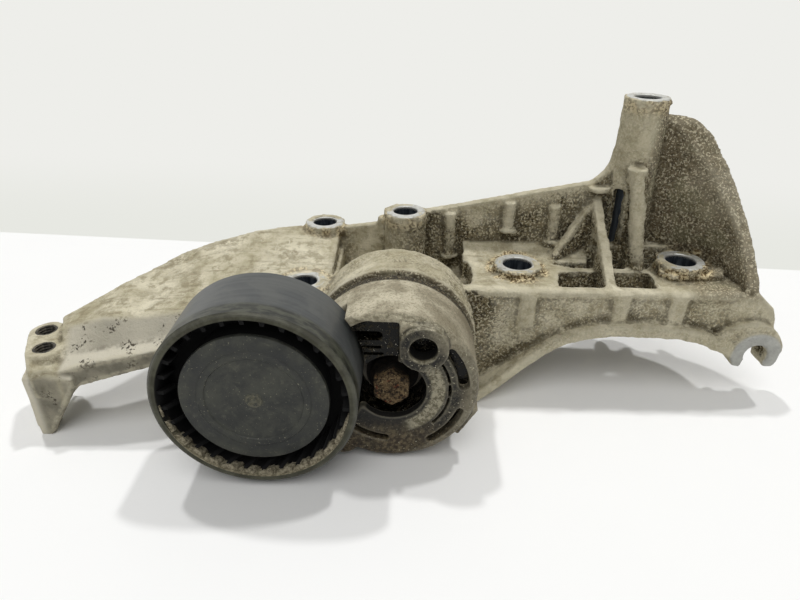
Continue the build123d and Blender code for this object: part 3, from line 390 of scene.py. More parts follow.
def bare_lip(tree):
    """Smooth grey skin of the left arm's lip and end, with painted light that makes its upward faces and the fin
    paler, and dark pits in clusters.
    """
    grey = tree.mix(tree.spots(11, 4, 0.6, 0.35, 0.65), srgb(108, 104, 91), srgb(144, 139, 122))
    # Painted light: faces turned upward, and the fin, are mixed toward a pale tone.
    grey = tree.mix(tree.times(tree.attribute("upper"), 0.85), grey, srgb(210, 204, 186))
    pits = tree.times(tree.spots(6.5, 2, 0.5, 0.57, 0.64), tree.spots(1.1, 2, 0.6, 0.50, 0.60))
    return tree.mix(pits, grey, srgb(72, 66, 56))


def sandy_dirt_and_painted_shade(tree):
    """Dirt with pale crumbs and dark dents; painted shade makes it darker where the shade attribute says it is
    sheltered, and it is darker in wide hollows.
    """
    deep = tree.mix(tree.spots(7, 4, 0.65, 0.35, 0.65), srgb(100, 90, 65), srgb(136, 124, 95))
    open_tone = tree.mix(tree.spots(12, 4, 0.6, 0.35, 0.65), srgb(166, 156, 126), srgb(206, 198, 172))
    # Painted shade: the shade attribute, how sheltered each point is, darkens the dirt's tone.
    depth = tree.plus(tree.attribute("shade"), tree.times(tree.noise(5, 4, 0.6), 0.5))
    depth = tree.plus(depth, tree.times(tree.attribute("relief"), 0.30))
    dirt = tree.mix(tree.between(depth, 0.22, 0.72), open_tone, deep)
    dirt = tree.mix(tree.spots(1.0, 1.5, 0.5, 0.51, 0.59, 0.8), dirt, srgb(218, 210, 182))
    dents = tree.between(tree.noise(1.25, 1.5, 0.5), 0.40, 0.48, 0.85, 0.0)
    dents = tree.times(dents, tree.between(depth, 0.0, 0.5, 0.35, 1.0))
    return tree.mix(dents, dirt, srgb(46, 39, 25))


def brown_crust(tree):
    """Old brown crust with a mossy cast and pale crumbs."""
    crust = tree.mix(tree.spots(1.5, 4, 0.7, 0.35, 0.65), srgb(66, 57, 40), srgb(118, 106, 82))
    crust = tree.mix(tree.spots(15, 3, 0.5, 0.50, 0.60, 0.6), crust, srgb(122, 118, 90))
    return tree.mix(tree.spots(0.9, 1.5, 0.5, 0.56, 0.61, 0.85), crust, srgb(204, 195, 168))


def cast_aluminium():
    """Weathered casting: film, dirt and crust where the masks put them, painted shade in sheltered places and at
    the cup's rim, painted light on the lip, worn edges, a few machined faces.
    """
    tree = new_material("cast_aluminium")
    grit, bare, brown = tree.attribute("grit"), tree.attribute("bare"), tree.attribute("brown")
    film = tree.mix(tree.attribute("smooth"), dirt_film(tree), bare_lip(tree))
    colour = tree.mix(grit, film, sandy_dirt_and_painted_shade(tree))
    colour = tree.mix(tree.times(brown, 0.9), colour, brown_crust(tree))
    golden = tree.mix(tree.spots(1.25, 2, 0.6, 0.44, 0.56), srgb(104, 84, 52), srgb(226, 209, 168))
    colour = tree.mix(tree.attribute("skirt"), colour, golden)
    patchy = tree.between(tree.noise(4.5, 4, 0.7), 0.38, 0.58, 0.15, 1.0)
    worn = tree.times(tree.between(tree.attribute("cavity"), -0.05, -0.26, 0, 0.55), patchy)
    worn = tree.times(worn, tree.minus(1.0, tree.times(brown, 0.75)))
    colour = tree.mix(worn, colour, srgb(192, 185, 162))
    hollow = tree.times(tree.between(tree.attribute("cavity"), 0.05, 0.32, 0, 0.6), patchy)
    colour = tree.mix(hollow, colour, srgb(66, 58, 40))
    colour = tree.mix(bare, colour, tree.dusty(srgb(168, 168, 162), 6))
    normal = tree.bump(tree.times(tree.noise(0.75, 3, 0.75), tree.between(grit, 0, 1, 0.4, 1.0)), 0.55)
    normal = tree.bump(tree.times(tree.noise(1.5, 3, 0.6), grit), 0.9, normal)
    normal = tree.bump(tree.times(tree.noise(2.4, 4, 0.6), tree.between(bare, 0, 1, 1.0, 0.1)), 0.40, normal)
    rough = tree.between(bare, 0, 1, 0.85, 0.42)
    return tree.surface(colour, rough, normal, tree.times(bare, 0.6), Specular_IOR_Level=0.3)


def machined_aluminium():
    """Turned face of a boss: dull light grey, with fine rings and a few stains."""
    tree = new_material("machined_aluminium")
    stain = tree.spots(3.5, 4, 0.65, 0.44, 0.68, 0.7)
    colour = tree.mix(stain, srgb(196, 196, 190), srgb(138, 131, 112))
    wave = {"Vector": tree.place(), "Scale": 1.1, "Distortion": 0.6, "Detail": 2.0}
    rings = tree.node("ShaderNodeTexWave", wave, wave_type="RINGS", rings_direction="Z").outputs["Fac"]
    return tree.surface(colour, tree.between(stain, 0, 0.6, 0.42, 0.66), tree.bump(rings, 0.02), 0.35)


def bore_wall(name, dark, light):
    """Drilled or tapped wall, streaked along its axis."""
    tree = new_material(name)
    colour = tree.mix(tree.spots(2.2, 4, 0.6, 0.35, 0.7, stretch=(1, 1, 6)), dark, light)
    return tree.surface(colour, 0.48, tree.bump(tree.noise(0.5, 2, 0.5, 0, (4, 4, 0.4)), 0.03), 0.55)


def shell_aluminium():
    """Drum of the tensioner: tan on top, painted shade on its right side and front, its face dark and oily round
    the eye, pale chafed edges.
    """
    tree = new_material("shell_aluminium")
    cavity, face, black = tree.attribute("cavity"), tree.attribute("face"), tree.attribute("black")
    film = tree.mix(tree.spots(11, 4, 0.6, 0.36, 0.64), srgb(148, 140, 118), srgb(200, 192, 168))
    film = tree.mix(tree.spots(1.0, 3, 0.75, 0.48, 0.62, 0.5), film, srgb(98, 90, 70))
    # Painted shade: the drum's right side and its front below the top are painted darker.
    film = tree.mix(tree.times(tree.attribute("painted_side_shade"), 0.62), film, srgb(98, 89, 70))
    oil = tree.mix(tree.spots(2.6, 4, 0.7, 0.42, 0.62, twist=0.5), srgb(16, 15, 12), srgb(66, 62, 50))
    oil = tree.mix(tree.spots(0.9, 3, 0.7, 0.58, 0.68, 0.7), oil, srgb(150, 143, 122))
    mud = tree.mix(tree.spots(1.6, 4, 0.7, 0.40, 0.62), srgb(50, 40, 28), srgb(110, 98, 74))
    chafed = tree.mix(tree.spots(1.4, 4, 0.7, 0.40, 0.60), srgb(98, 92, 72), srgb(162, 156, 134))
    packed = tree.mix(tree.spots(0.8, 3, 0.75, 0.50, 0.62), srgb(34, 29, 19), srgb(104, 94, 70))
    specks = tree.times(tree.spots(0.9, 2, 0.6, 0.66, 0.71, 0.7), tree.between(black, 0.3, 0.9, 1.0, 0.1))
    colour = tree.mix(face, film, oil)
    colour = tree.mix(black, colour, srgb(20, 19, 17))
    colour = tree.mix(tree.attribute("low"), colour, mud)
    colour = tree.mix(tree.times(tree.attribute("pale"), 0.9), colour, chafed)
    # Grit and painted shade: the drum's back, beside the groove to the cup, is painted dark.
    colour = tree.mix(tree.attribute("groove"), colour, packed)
    colour = tree.mix(specks, colour, srgb(206, 198, 172))
    colour = tree.mix(tree.between(cavity, 0.05, 0.28, 0, 0.85), colour, srgb(34, 31, 26))
    colour = tree.mix(tree.between(cavity, -0.10, -0.40, 0, 0.25), colour, srgb(160, 154, 134))
    normal = tree.bump(tree.noise(4, 4, 0.6), 0.30, tree.bump(tree.noise(0.7, 3, 0.7), 0.16))
    return tree.surface(colour, tree.minus(0.76, tree.times(face, 0.2)), normal, Specular_IOR_Level=0.3)


def black_coat():
    """Glossy black coat of the arm, with brownish dust on its flats and pale specks."""
    tree = new_material("black_coat")
    dust = tree.spots(2.6, 5, 0.8, 0.50, 0.64, 0.75, twist=0.3)
    colour = tree.mix(dust, srgb(10, 9, 6), srgb(76, 69, 54))
    colour = tree.mix(tree.spots(0.8, 2, 0.7, 0.67, 0.72, 0.8), colour, srgb(176, 171, 156))
    normal = tree.bump(tree.noise(1.6, 3, 0.6), 0.16)
    return tree.surface(colour, tree.between(dust, 0, 0.5, 0.16, 0.7), normal, Specular_IOR_Level=0.15)


def rusty_steel():
    """Pitted, rust-brown bolt head, with near-black painted shade on its sides and shank down in the eye."""
    tree = new_material("rusty_steel")
    colour = tree.mix(tree.spots(1.7, 4, 0.7, 0.35, 0.65, twist=0.8), srgb(30, 22, 15), srgb(116, 97, 70))
    colour = tree.mix(tree.spots(2.4, 3, 0.6, 0.58, 0.70, 0.6), colour, srgb(104, 40, 20))
    colour = tree.mix(tree.spots(0.7, 2, 0.7, 0.62, 0.70, 0.75), colour, srgb(164, 146, 110))
    dents = tree.between(tree.noise(1.3, 2, 0.5), 0.38, 0.46, 0.85, 0)
    colour = tree.mix(dents, colour, srgb(20, 14, 9))
    # Painted shade: near-black where the bolt sits down in the eye.
    colour = tree.mix(tree.attribute("deep"), colour, srgb(8, 7, 5))
    return tree.surface(colour, 0.85, tree.bump(tree.noise(0.9, 4, 0.75), 0.5), Specular_IOR_Level=0.2)


def dark_steel():
    """Steel that long ago went black with oil and rust."""
    tree = new_material("dark_steel")
    colour = tree.mix(tree.spots(1.4, 4, 0.7, 0.45, 0.68, twist=0.5), srgb(6, 5, 4), srgb(26, 21, 15))
    return tree.surface(colour, 0.7, tree.bump(tree.noise(0.8, 3, 0.7), 0.2), Specular_IOR_Level=0.15)


def ground_steel():
    """Bright steel, finely striped all round."""
    tree = new_material("ground_steel")
    stripes = tree.noise(0.6, 2, 0.5, 0, (6, 0.4, 6))
    return tree.surface(tree.dusty(srgb(150, 150, 152), 5), 0.32, tree.bump(stripes, 0.02), 0.9)


def spring_wire():
    tree = new_material("spring_wire")
    return tree.surface(tree.dusty(srgb(48, 48, 52), 4), 0.4, tree.bump(tree.noise(0.7, 3), 0.05), 0.8)


def hard_plastic():
    tree = new_material("hard_plastic")
    return tree.surface(tree.dusty(srgb(112, 106, 94), 6), 0.55, tree.bump(tree.noise(0.5, 3), 0.04))


def seal_rubber():
    """Dark groove seal, packed with grit."""
    tree = new_material("seal_rubber")
    colour = tree.mix(tree.spots(0.9, 3, 0.75, 0.55, 0.66, 0.7), srgb(34, 30, 22), srgb(128, 116, 88))
    return tree.surface(colour, 0.9, tree.bump(tree.noise(0.9, 3, 0.7), 0.45))


def above_pulley_axis(tree):
    return tree.minus(tree.part("Z"), PULLEY.z / MM)


def from_pulley_axis(tree):
    across = tree.minus(tree.part("X"), PULLEY.x / MM)
    squares = tree.plus(tree.math("POWER", across, 2.0), tree.math("POWER", above_pulley_axis(tree), 2.0))
    return tree.math("SQRT", squares)


def pulley_plastic():
    """Belt track polished satin, dull front band, black inside with tan dust packed at its lower mouth."""
    tree = new_material("pulley_plastic")
    radius = from_pulley_axis(tree)
    behind = tree.minus(tree.part("Y"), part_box("pulley_rim")[0].y / MM)
    streaks = tree.spots(2.6, 3, 0.5, 0.3, 0.7, stretch=(10, 0.5, 10))
    track = tree.mix(streaks, srgb(66, 68, 68), srgb(78, 80, 79))
    track = tree.mix(tree.spots(14, 4, 0.65, 0.40, 0.62, 0.5, twist=0.4), track, srgb(92, 93, 89))
    worn = tree.spots(2.2, 4, 0.7, 0.38, 0.64, twist=0.2, stretch=(3, 1, 3))
    band = tree.mix(worn, srgb(36, 37, 32), srgb(74, 75, 64))
    band_end = tree.plus(behind, tree.times(tree.noise(14, 3, 0.6), 2.6))
    track = tree.mix(tree.between(band_end, 7.0, 9.0), band, track)
    outside = tree.between(radius, 34.2, 35.0)
    colour = tree.mix(outside, tree.dusty(srgb(9, 9, 9), 8), track)
    mouth = tree.times(tree.between(behind, 1.2, 0.2), tree.between(radius, 33.0, 33.5))
    colour = tree.mix(mouth, colour, tree.mix(0.35, band, srgb(92, 90, 74)))
    packed = packed_dust(tree, radius, behind)
    dust = tree.mix(tree.spots(1.2, 3, 0.6, 0.3, 0.7), srgb(104, 98, 78), srgb(170, 162, 138))
    colour = tree.mix(packed, colour, dust)
    normal = tree.bump(tree.noise(0.5, 3, 0.6, 0, (5, 0.5, 5)), 0.02)
    normal = tree.bump(tree.times(tree.noise(1.1, 3, 0.7), packed), 0.5, normal)
    return tree.surface(colour, tree.between(outside, 0, 1, 0.95, 0.40), normal, Specular_IOR_Level=0.3)


def packed_dust(tree, radius, behind):
    """Mask of the dust behind the cakes: low in the rim, near its front and clear of the ribs' front ends."""
    height = tree.plus(above_pulley_axis(tree), tree.times(tree.noise(3.5, 3, 0.6), 12))
    depth = tree.plus(behind, tree.times(tree.noise(2.0, 2, 0.5), 2.0))
    packed = tree.times(tree.between(height, -2, -13), tree.between(radius, 31.2, 31.9))
    packed = tree.times(packed, tree.between(depth, 5.4, 4.6))
    packed = tree.times(packed, tree.between(radius, 33.6, 33.2))
    ribs = tree.times(tree.between(behind, 1.9, 1.7), tree.between(radius, 33.1, 32.9))
    return tree.times(packed, tree.minus(1.0, ribs))


def cap_plastic():
    """Charcoal dust cap with wiped smudges, a darker ring, scuffs and pale specks."""
    tree = new_material("cap_plastic")
    radius = from_pulley_axis(tree)
    smudge = tree.spots(12, 5, 0.7, 0.38, 0.64, twist=0.2)
    colour = tree.mix(smudge, srgb(35, 37, 34), srgb(64, 65, 58))
    colour = tree.mix(tree.spots(3.0, 4, 0.7, 0.56, 0.70, 0.4, twist=0.4), colour, srgb(96, 95, 82))
    colour = tree.mix(tree.spots(0.7, 2, 0.6, 0.67, 0.72, 0.8), colour, srgb(150, 145, 124))
    ring_mask = tree.times(tree.between(radius, 17.5, 20.0), tree.between(radius, 24.0, 21.5))
    colour = tree.mix(tree.times(ring_mask, 0.45), colour, srgb(34, 36, 36))
    nub_mask = tree.times(tree.between(radius, 3.6, 2.6), tree.spots(1.2, 3, 0.6, 0.35, 0.6))
    colour = tree.mix(tree.times(nub_mask, 0.5), colour, srgb(110, 106, 86))
    normal = tree.bump(tree.noise(6, 3, 0.5), 0.12, tree.bump(tree.noise(0.45, 3, 0.6), 0.06))
    return tree.surface(colour, tree.between(smudge, 0, 1, 0.46, 0.64), normal, Specular_IOR_Level=0.35)


def caked_dust():
    """Dry tan dust, crumbly."""
    tree = new_material("caked_dust")
    colour = tree.mix(tree.spots(1.3, 4, 0.7, 0.36, 0.62), srgb(98, 91, 72), srgb(160, 152, 130))
    dark = tree.between(tree.noise(0.7, 3, 0.7), 0.36, 0.46, 0.7, 0)
    colour = tree.mix(dark, colour, srgb(66, 58, 42))
    return tree.surface(colour, 0.95, tree.bump(tree.noise(0.8, 3, 0.7), 0.5))


# ================================================================= softened copies of CAD nodes

def read(items, key, width, kind=float):
    """A property of all vertices or edges, one row each."""
    flat = np.empty(len(items) * width, kind)
    items.foreach_get(key, flat)
    return flat.reshape(-1, width)


def put_points(mesh, points):
    """Writes the points, kept inside the CAD model's box, and gives the new vertex normals."""
    points = np.clip(points, np.array(cad_box[0]) / MM, np.array(cad_box[1]) / MM)
    mesh.vertices.foreach_set("co", (points * MM).ravel())
    mesh.update()
    return read(mesh.vertices, "normal", 3)


def relax(points, edges, rounds):
    """Moves each point halfway toward the middle of its neighbours, round after round."""
    count = len(points)
    ends, others = np.concatenate([edges, edges[:, ::-1]]).T
    neighbours = np.bincount(ends, minlength=count)[:, None]
    for _ in range(rounds):
        middle = np.stack([np.bincount(ends, points[others, k], count) for k in range(3)], 1) / neighbours
        points = points + 0.5 * (middle - points)
    return points


def remeshed(node, name, voxel):
    """The CAD node's shape in a mesh of even small faces."""
    source = new_object(name + "_source", frame["nodes"][node].data.copy())
    modifier = source.modifiers.new("remesh", "REMESH")
    modifier.mode, modifier.voxel_size = "VOXEL", voxel * MM
    graph = bpy.context.evaluated_depsgraph_get()
    mesh = bpy.data.meshes.new_from_object(source.evaluated_get(graph))
    bpy.data.objects.remove(source)
    mesh.name = name
    mesh.materials.clear()
    return mesh


def rounded_copy(node, name, voxel, rounds):
    """A remeshed and relaxed copy of a CAD node: its mesh, edges, points and normals."""
    mesh = remeshed(node, name, voxel)
    edges = read(mesh.edges, "vertices", 2, np.int64)
    points = relax(read(mesh.vertices, "co", 3) / MM, edges, rounds)
    normals = put_points(mesh, points)
    shade_smooth(mesh, 80)
    return SimpleNamespace(mesh=mesh, edges=edges, points=points, normals=normals)


def hollows(copy, rounds):
    """How far each point lies inside the copy's shape as it is after more rounds of relaxing."""
    return np.sum((relax(copy.points, copy.edges, rounds) - copy.points) * copy.normals, axis=1)


def shelter(copy, reach):
    """0 where a point sees open space, 1 where the copy itself hides all of its view within reach."""
    every, rays, lift, rounds = 9, 14, 0.6, 6
    faces = [tuple(face.vertices) for face in copy.mesh.polygons]
    surface = BVHTree.FromPolygons(copy.points.tolist(), faces)
    spread = np.random.default_rng(5).normal(size=(rays, 3))
    spread /= np.linalg.norm(spread, axis=1)[:, None]
    picked = np.arange(0, len(copy.points), every)
    near = KDTree(len(picked))
    hidden = np.zeros(len(picked))
    for i, k in enumerate(picked):
        near.insert(copy.points[k], i)
        normal = copy.normals[k]
        origin = copy.points[k] + lift * normal
        view = spread * np.where(spread @ normal < 0, -1, 1)[:, None]
        hidden[i] = np.mean([surface.ray_cast(origin, ray, reach)[0] is not None for ray in view])
    near.balance()
    nearest = np.array([near.find(point)[1] for point in copy.points])
    return relax(hidden[nearest][:, None].repeat(3, 1), copy.edges, rounds)[:, 0]


def finished(copy, points, material, **masks):
    """The copy as an object, with its last points, its material and the masks that the material reads."""
    put_points(copy.mesh, points)
    for name, values in masks.items():
        attribute = copy.mesh.attributes.new(name, "FLOAT", "POINT")
        attribute.data.foreach_set("value", values.astype(np.float32))
    copy.mesh.materials.append(material)
    return new_object(copy.mesh.name, copy.mesh)


# ================================================================= bracket

def round_mounts():
    """The bores and threaded holes: name, centre and top, radius and length."""
    points = read(frame["nodes"]["bracket_casting"].data.vertices, "co", 3) / MM
    holes = []
    for name, mount in MOUNTS.items():
        if "r_mm" in mount["dims"]:
            radius, centre = mount["dims"]["r_mm"], np.array(mount["pos_m"][:2]) / MM
            wall = np.abs(np.hypot(*(points[:, :2] - centre).T) - radius) < 0.05
            holes.append(SimpleNamespace(name=name, centre=centre, top=points[wall, 2].max(), radius=radius,
                                         length=mount["dims"]["length_mm"]))
    return holes


def casting_zones(points, normals):
    """Masks of the casting's parts at its points."""
    x, y, z = points.T
    facing_up = ease(normals[:, 2], 0.4, 0.85)
    deck_top = facing_up * ease(z, 30, 38)
    front_wall = ease(y, -33, -36)
    left_arm, left_end = ease(x, -14, -34), ease(x, -132, -136)
    lip_edge = np.interp(x, (-104, -87.5, -70, -54.5), (-55, -53, -49, -46))
    lip = left_arm * ease(y, lip_edge + 0.5, lip_edge - 1.5)
    from_pivot = np.hypot(x - PIVOT.x / MM, z - PIVOT.z / MM)
    hook = np.array(MOUNTS["hook_slot"]["pos_m"]) / MM
    from_hook = np.hypot(x - hook[0], z - hook[2])
    return SimpleNamespace(
        facing_up=facing_up,
        deck_top=deck_top,
        front_wall=front_wall,
        left_arm=left_arm,
        channel=ease(x, -16, 8),
        cup=ease(from_pivot, 37, 34.5) * ease(y, -27, -30),
        cup_rim=ease(y, -48.6, -49.6),
        low_front=front_wall * ease(z, 46, 30) * ease(x, 62, 40),
        right_pad=facing_up * ease(x, 84, 90) * ease(x, 132, 126) * ease(z, 30, 36) * ease(z, 60, 56),
        smooth=np.maximum(lip * (1 - left_end), left_end * ease(z, 30, 27)),
        shield=np.maximum(ease(x, 101, 108) * ease(z, 59, 66), ease(x, 116, 127) * ease(z, 44, 54)),
        hook_face=ease(from_hook, 11.5, 10.2) * ease(y, HOOK_FRONT + 1.6, HOOK_FRONT + 0.5),
        fin=ease(x, -143, -147))


def casting_grit_and_shade(copy, zone):
    """Grit and painted shade of the casting: most in the channel's sheltered corners, least on open faces."""
    points = copy.points
    shade = shelter(copy, reach=32) - 0.50 * zone.deck_top
    shade *= 1 - 0.6 * zone.front_wall * ease(points[:, 0], 10, 24)
    shade = np.maximum(shade - 0.35 * zone.right_pad, 0)
    grit = zone.channel * (0.45 + 0.55 * ease(shade, 0.15, 0.4)) * (0.75 + 0.5 * lumps(points, 9, 1))
    grit *= 1 - 0.75 * zone.low_front - 0.6 * zone.deck_top * (1 - zone.low_front)
    grit += zone.cup * 0.7 * lumps(points, 6, 12)
    shade = shade * (1 - zone.low_front)
    grit += zone.left_arm * (0.25 * ease(lumps(points, 7, 2), 0.5, 0.8) + 0.5 * ease(shade, 0.3, 0.6))
    grit = np.clip(grit, 0, 1) * (1 - 0.85 * zone.smooth) * (1 - 0.5 * zone.right_pad)
    return grit, shade


def boss_skirts(points, holes):
    """Mask of the golden crumbs caked round the bosses, just under their machined faces."""
    z = points[:, 2]
    skirts = np.zeros(len(points))
    for hole in holes:
        away = np.hypot(*(points[:, :2] - hole.centre).T)
        below_face = ease(z, hole.top + 2.2, hole.top + 1.2)
        if hole.name.startswith("accessory"):
            skirt = ease(away, 15.5, 12.5) * ease(z, hole.top - 7, hole.top - 3) * ease(away, 9, 10.5)
            skirts = np.maximum(skirts, skirt * below_face)
        elif hole.length > DEEP_BORE:
            skirt = ease(away, 13, 10.5) * ease(z, hole.top - 8, hole.top - 3) * ease(away, 8, 9.4)
            skirts = np.maximum(skirts, 0.55 * skirt * below_face)
    return skirts * ease(lumps(points, 3.5, 15), 0.25, 0.5)


def casting_height(points, grit, skirt, bare):
    """How far the points stand out: sand grains, cast unevenness and the skirts' crumbs."""
    sand = np.clip(grit + skirt, 0, 1) * (1 - bare)
    height = sand * (0.8 * (lumps(points, 2.3, 3) - 0.5) + 0.7 * (lumps(points, 1.5, 4) - 0.5))
    height += (1 - bare) * (0.6 * (lumps(points, 11, 5) - 0.5) + 0.16 * (lumps(points, 3.5, 6) - 0.5))
    return height + skirt * ease(lumps(points, 2.0, 7), 0.45, 0.8)


def open_holes(points, holes):
    """Pushes the points out of the holes, which leaves room for their linings."""
    past_end = 1.5
    for hole in holes:
        offset = points[:, :2] - hole.centre
        away = np.maximum(np.hypot(*offset.T), 1e-6)
        depth = hole.top - points[:, 2]
        clear = hole.radius + (0.45 if hole.length > DEEP_BORE else 0.9)
        near = (away < clear) & (depth > -past_end) & (depth < hole.length + past_end)
        points[near, :2] = hole.centre + offset[near] * (clear / away[near])[:, None]
    return points


def bracket_skin(holes):
    """The casting with rounded edges, cast unevenness and grit, and crisp openings."""
    copy = rounded_copy("bracket_casting", "bracket_skin", voxel=0.75, rounds=5)
    points = copy.points
    zone = casting_zones(points, copy.normals)
    grit, shade = casting_grit_and_shade(copy, zone)
    skirt = boss_skirts(points, holes)
    crust = 0.62 * zone.left_arm * (0.35 + 0.65 * ease(points[:, 1], -32, -10))
    crust *= ease(lumps(points, 10, 13), 0.45, 0.65)
    # The cup's rim by the groove gets the brown crust: partly crust, partly painted shade of the groove.
    brown = np.maximum(zone.shield * (0.7 + 0.3 * lumps(points, 14, 14)), zone.cup * zone.cup_rim)
    low_wall = zone.front_wall * ease(points[:, 2], 42, 34)
    relief = np.clip(hollows(copy, WIDE_HOLLOWS), -2, 2) * (1 - 0.8 * zone.facing_up) * (1 - 0.85 * low_wall)
    # Painted light: how far each face turns upward, plus the fin at the left end.
    upper = ease(copy.normals[:, 2], 0.15, 0.8) + zone.fin
    height = casting_height(points, grit, skirt, zone.hook_face)
    points = open_holes(points + copy.normals * height[:, None], holes)
    skin = finished(copy, points, cast_aluminium(), cavity=hollows(copy, SMALL_HOLLOWS), relief=relief,
                    shade=shade, grit=grit, skirt=skirt, bare=zone.hook_face, smooth=zone.smooth, crust=crust,
                    brown=brown, upper=upper)
    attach(skin, "bracket")
    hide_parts("bracket_casting")


def face_profile(radius):
    """Section of a boss's machined ring: flat on top, chamfered, and sunk into the casting."""
    outer, chamfer, proud, sunk = radius + 3.5, 0.35, 0.02, -1.6
    return [(radius + chamfer, proud), (outer - chamfer, proud), (outer, -chamfer), (outer - 0.2, sunk),
            (radius, sunk), (radius, -chamfer)]


def lining_profile(radius, length):
    """Section of a bore's plain wall."""
    outer, top, end = radius + 0.5, -1.0, -length + 0.1
    return [(outer, top), (outer, end), (radius, end), (radius, top)]


def thread_profile(radius, length):
    """Section of a threaded wall whose crests are at the radius, as rings of one pitch each."""
    outer, top, end, pitch, depth = radius + 1.0, -0.1, -length + 0.2, 1.25, 0.62
    flanks = [(radius + cut, -pitch * (turn + share)) for turn in range(int(length / pitch))
              for share, cut in ((0.1, 0.0), (0.2, 0.0), (0.55, depth), (0.65, depth))]
    return [(outer, top), (outer, end), (radius, end)] + flanks[::-1]


def boss_faces(holes):
    """Machined ring on top of each bolt tube and the lining of its bore; threads in the end pad."""
    face = machined_aluminium()
    lining = bore_wall("bore_wall", srgb(44, 50, 58), srgb(90, 97, 105))
    threads = bore_wall("thread_wall", srgb(34, 31, 26), srgb(112, 106, 92))
    for hole in holes:
        place = Vector((*hole.centre, hole.top)) * MM
        if hole.length > DEEP_BORE:
            add_part(ring(hole.name + "_face", face_profile(hole.radius), place, face))
            wall, material, ending = lining_profile(hole.radius, hole.length), lining, "_lining"
        else:
            wall, material, ending = thread_profile(hole.radius, hole.length), threads, "_thread"
        add_part(ring(hole.name + ending, wall, place, material))


# ================================================================= tensioner

def drum_masks(copy):
    """Where the drum is oily, chafed, black and muddy, where grit and painted shade fill the groove, and where
    shade is painted on its right side and front.
    """
    x, y, z = copy.points.T
    across, above = x - PIVOT.x / MM, z - PIVOT.z / MM
    radius, turn = np.hypot(across, above), np.degrees(np.arctan2(above, across))
    from_lug = np.hypot(across - LUG_ACROSS, above - LUG_ABOVE)
    front = ease(y, -78.5, -80.5)

    lug = ease(from_lug, 10.5, 9.0) * ease(y, -80, -82)
    oily = front * np.maximum(ease(above, 22, 14), lug)
    oily *= 1 - 0.45 * ease(radius, 24, 28) * ease(across, 8, 20)
    oily = np.maximum(oily, 0.8 * ease(y, -60, -72) * ease(above, -8, -20))

    band = ease(radius, 14.2, 15.4) * ease(radius, 20.4, 19.2) * ease(turn, -78, -58) * ease(turn, 52, 36)
    band *= front * ease(copy.normals[:, 1], -0.4, -0.8)
    lug_top = ease(copy.normals[:, 2], 0.25, 0.6) * ease(y, -79, -81) * ease(above, 22, 25)
    lug_lip = ease(from_lug, 5.9, 5.2) * ease(above, 19, 15) * ease(y, -83.5, -84.8)
    right_rim = front * ease(radius, 28, 30) * ease(across, 4, 14)
    pale = np.maximum.reduce([band, 0.8 * lug_top, lug_lip, 0.35 * right_rim])

    lug_bore = ease(from_lug, 6.0, 5.4) * ease(y, -84.6, -83.4)
    eye = ease(radius, 13.6, 12.9) + ease(y, -77.5, -76) * ease(radius, 31, 29)
    window_side = front * ease(across, 2, -6) * ease(np.abs(above), 17, 13) * ease(above, 12, 8)
    under_eye = front * ease(radius, 20, 17) * ease(across, 14, 2) * ease(above, 2, -6)
    black = np.clip(np.maximum.reduce([lug_bore, eye, 0.85 * window_side, 0.8 * under_eye]), 0, 1)

    # Painted shade: the right side of the drum, and its front below the top, are painted darker.
    right_side = ease(turn, 95, 25) * ease(turn, -100, -40) * (0.6 + 0.4 * ease(y, -82, -70))
    front_edge = ease(y, -72, -79) * ease(above, 32, 24)
    underside = ease(above, -12, -24) * (0.4 + 0.6 * lumps(copy.points, 7, 16)) * ease(y, -60, -70)
    # groove: grit and painted shade on the drum's back, beside the cup.
    return {"face": oily, "pale": pale, "black": black, "low": underside, "groove": ease(y, -56.3, -55.5),
            "painted_side_shade": np.maximum(right_side, 0.6 * front_edge)}


def housing_skin():
    """The tensioner's drum with softened edges and a slightly uneven surface."""
    copy = rounded_copy("tensioner_housing", "housing_skin", voxel=0.45, rounds=3)
    height = 0.3 * (lumps(copy.points, 7, 8) - 0.5) + 0.14 * (lumps(copy.points, 1.6, 9) - 0.5)
    skin = finished(copy, copy.points + copy.normals * height[:, None], shell_aluminium(),
                    cavity=hollows(copy, SMALL_HOLLOWS), **drum_masks(copy))
    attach(skin, "arm")
    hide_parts("tensioner_housing")


def bolt_skin():
    """The pivot bolt, corroded until its corners are round."""
    copy = rounded_copy("pivot_bolt", "bolt_skin", voxel=0.4, rounds=6)
    points, y = copy.points, copy.points[:, 1]
    height = 0.5 * (lumps(points, 2.4, 10) - 0.55) + 0.3 * (lumps(points, 1.0, 11) - 0.5)
    height *= ease(y, -60, -64)
    # Painted shade: the sides and shank, from 1.5 mm behind the head's face and in full from 5 mm, are painted
    # near-black.
    deep = 0.95 * ease(y, y.min() + 1.5, y.min() + 5)
    skin = finished(copy, points + copy.normals * height[:, None], rusty_steel(), deep=deep)
    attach(skin, "bracket")
    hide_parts("pivot_bolt")


# ================================================================= pulley

def cap_skin():
    """The dust cap with soft steps: a small nub in the middle and a faint ring."""
    low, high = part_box("dust_cap")
    proud, thick, wall, collar = 0.4, 1.5, 1.4, 20.0
    outer = (high.x - low.x) / 2 / MM
    back = proud - (high.y - low.y) / MM
    nub = [(0.0, 0.36), (1.0, 0.34), (1.2, 0.04), (1.9, 0.06), (2.2, 0.38), (2.7, 0.36), (3.0, 0.0)]
    flat = [(14.0, -0.1), (17.0, -0.1)]
    raised_ring = [(17.4, 0.30), (19.6, 0.38), (20.1, 0.02), (22.0, 0.0)]
    edge = [(outer - 0.8, 0.0), (outer - 0.2, -0.2), (outer, -0.7), (outer, -thick)]
    inside = [(collar, -thick), (collar, back), (collar - wall, back), (collar - wall, -thick), (0.0, -thick)]
    centre = Vector((PULLEY.x, low.y + proud * MM, PULLEY.z))
    cap = disc("cap_skin", nub + flat + raised_ring + edge + inside, centre, (0, -1, 0), cap_plastic())
    add_part(cap, "pulley")
    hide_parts("dust_cap")


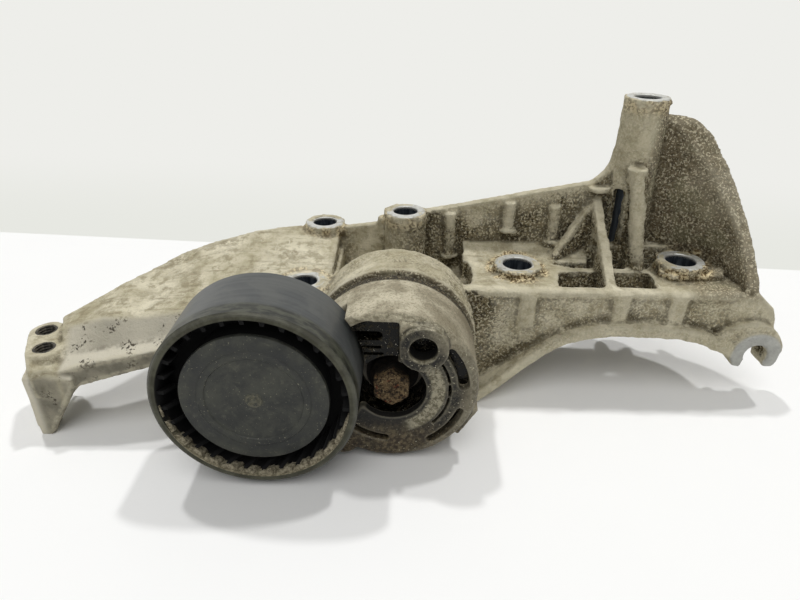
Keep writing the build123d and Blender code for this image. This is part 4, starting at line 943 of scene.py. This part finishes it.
def dust_cakes():
    """Dust packed between the pulley's ribs, in the lower mouth of the rim."""
    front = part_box("pulley_rim")[0].y / MM
    random = np.random.default_rng(11)
    step, cells, least, recess = 360 / RIBS, (7, 4, 3), 0.12, 0.55
    verts, faces = [], []
    for k in range(RIBS):
        middle = (k + 0.5) * step + RIB_TURN
        lowness = -sin(radians(middle))
        if lowness < least:
            continue
        size = min(1, (lowness - least) * 2.2) * random.uniform(0.75, 1.0)
        length, thick, half = 1.2 + 3.4 * size, 0.7 + 1.5 * size, step / 2 - random.uniform(0.9, 1.8)
        base = len(verts)
        for corner in product(*(range(count + 1) for count in cells)):
            side, back, up = (at / count for at, count in zip(corner, cells))
            side = 2 * side - 1
            bump = random.uniform(-0.16, 0.16) if up > 0 else 0
            bulge = (1 - 0.35 * side ** 4) * (1 - 0.45 * back ** 2)
            radius = RIM_INSIDE - up * thick * bulge - bump * up
            turn = radians(middle + side * half * (1 - 0.12 * up) + back * length * 0.9 + bump)
            y = front + recess + back * length + (bump if back > 0 else 0.25 * up)
            verts.append(((PULLEY.x / MM + radius * cos(turn)) * MM, y * MM,
                          (PULLEY.z / MM + radius * sin(turn)) * MM))
        faces += block_faces(base, *cells)
    add_part(solid("dust_cakes", verts, faces, caked_dust(), sharp=60), "pulley")


# ================================================================= CAD nodes that show as they are

def dress(material, *nodes):
    for node in nodes:
        mesh = frame["nodes"][node].data
        mesh.materials.clear()
        mesh.materials.append(material)


def dress_nodes():
    dress(black_coat(), "tensioner_arm")
    dress(dark_steel(), "pivot_sleeve", "pivot_washer")
    dress(ground_steel(), "pulley_spacer", "pulley_washer", "pulley_bolt",
          "rear_shield", "bearing_inner_ring", "bearing_outer_ring", "bearing_balls")
    dress(spring_wire(), "torsion_spring")
    dress(hard_plastic(), "thrust_washer", "damping_bush", "pivot_bush", "spring_seat", "bearing_cage")
    dress(seal_rubber(), "groove_seal", "bearing_seal_front", "bearing_seal_rear")
    dress(pulley_plastic(), "pulley_rim")


bpy.context.scene.view_settings.view_transform = "Standard"
place_camera()
studio()
floor()
round_holes = round_mounts()
bracket_skin(round_holes)
boss_faces(round_holes)
housing_skin()
bolt_skin()
cap_skin()
dust_cakes()
dress_nodes()
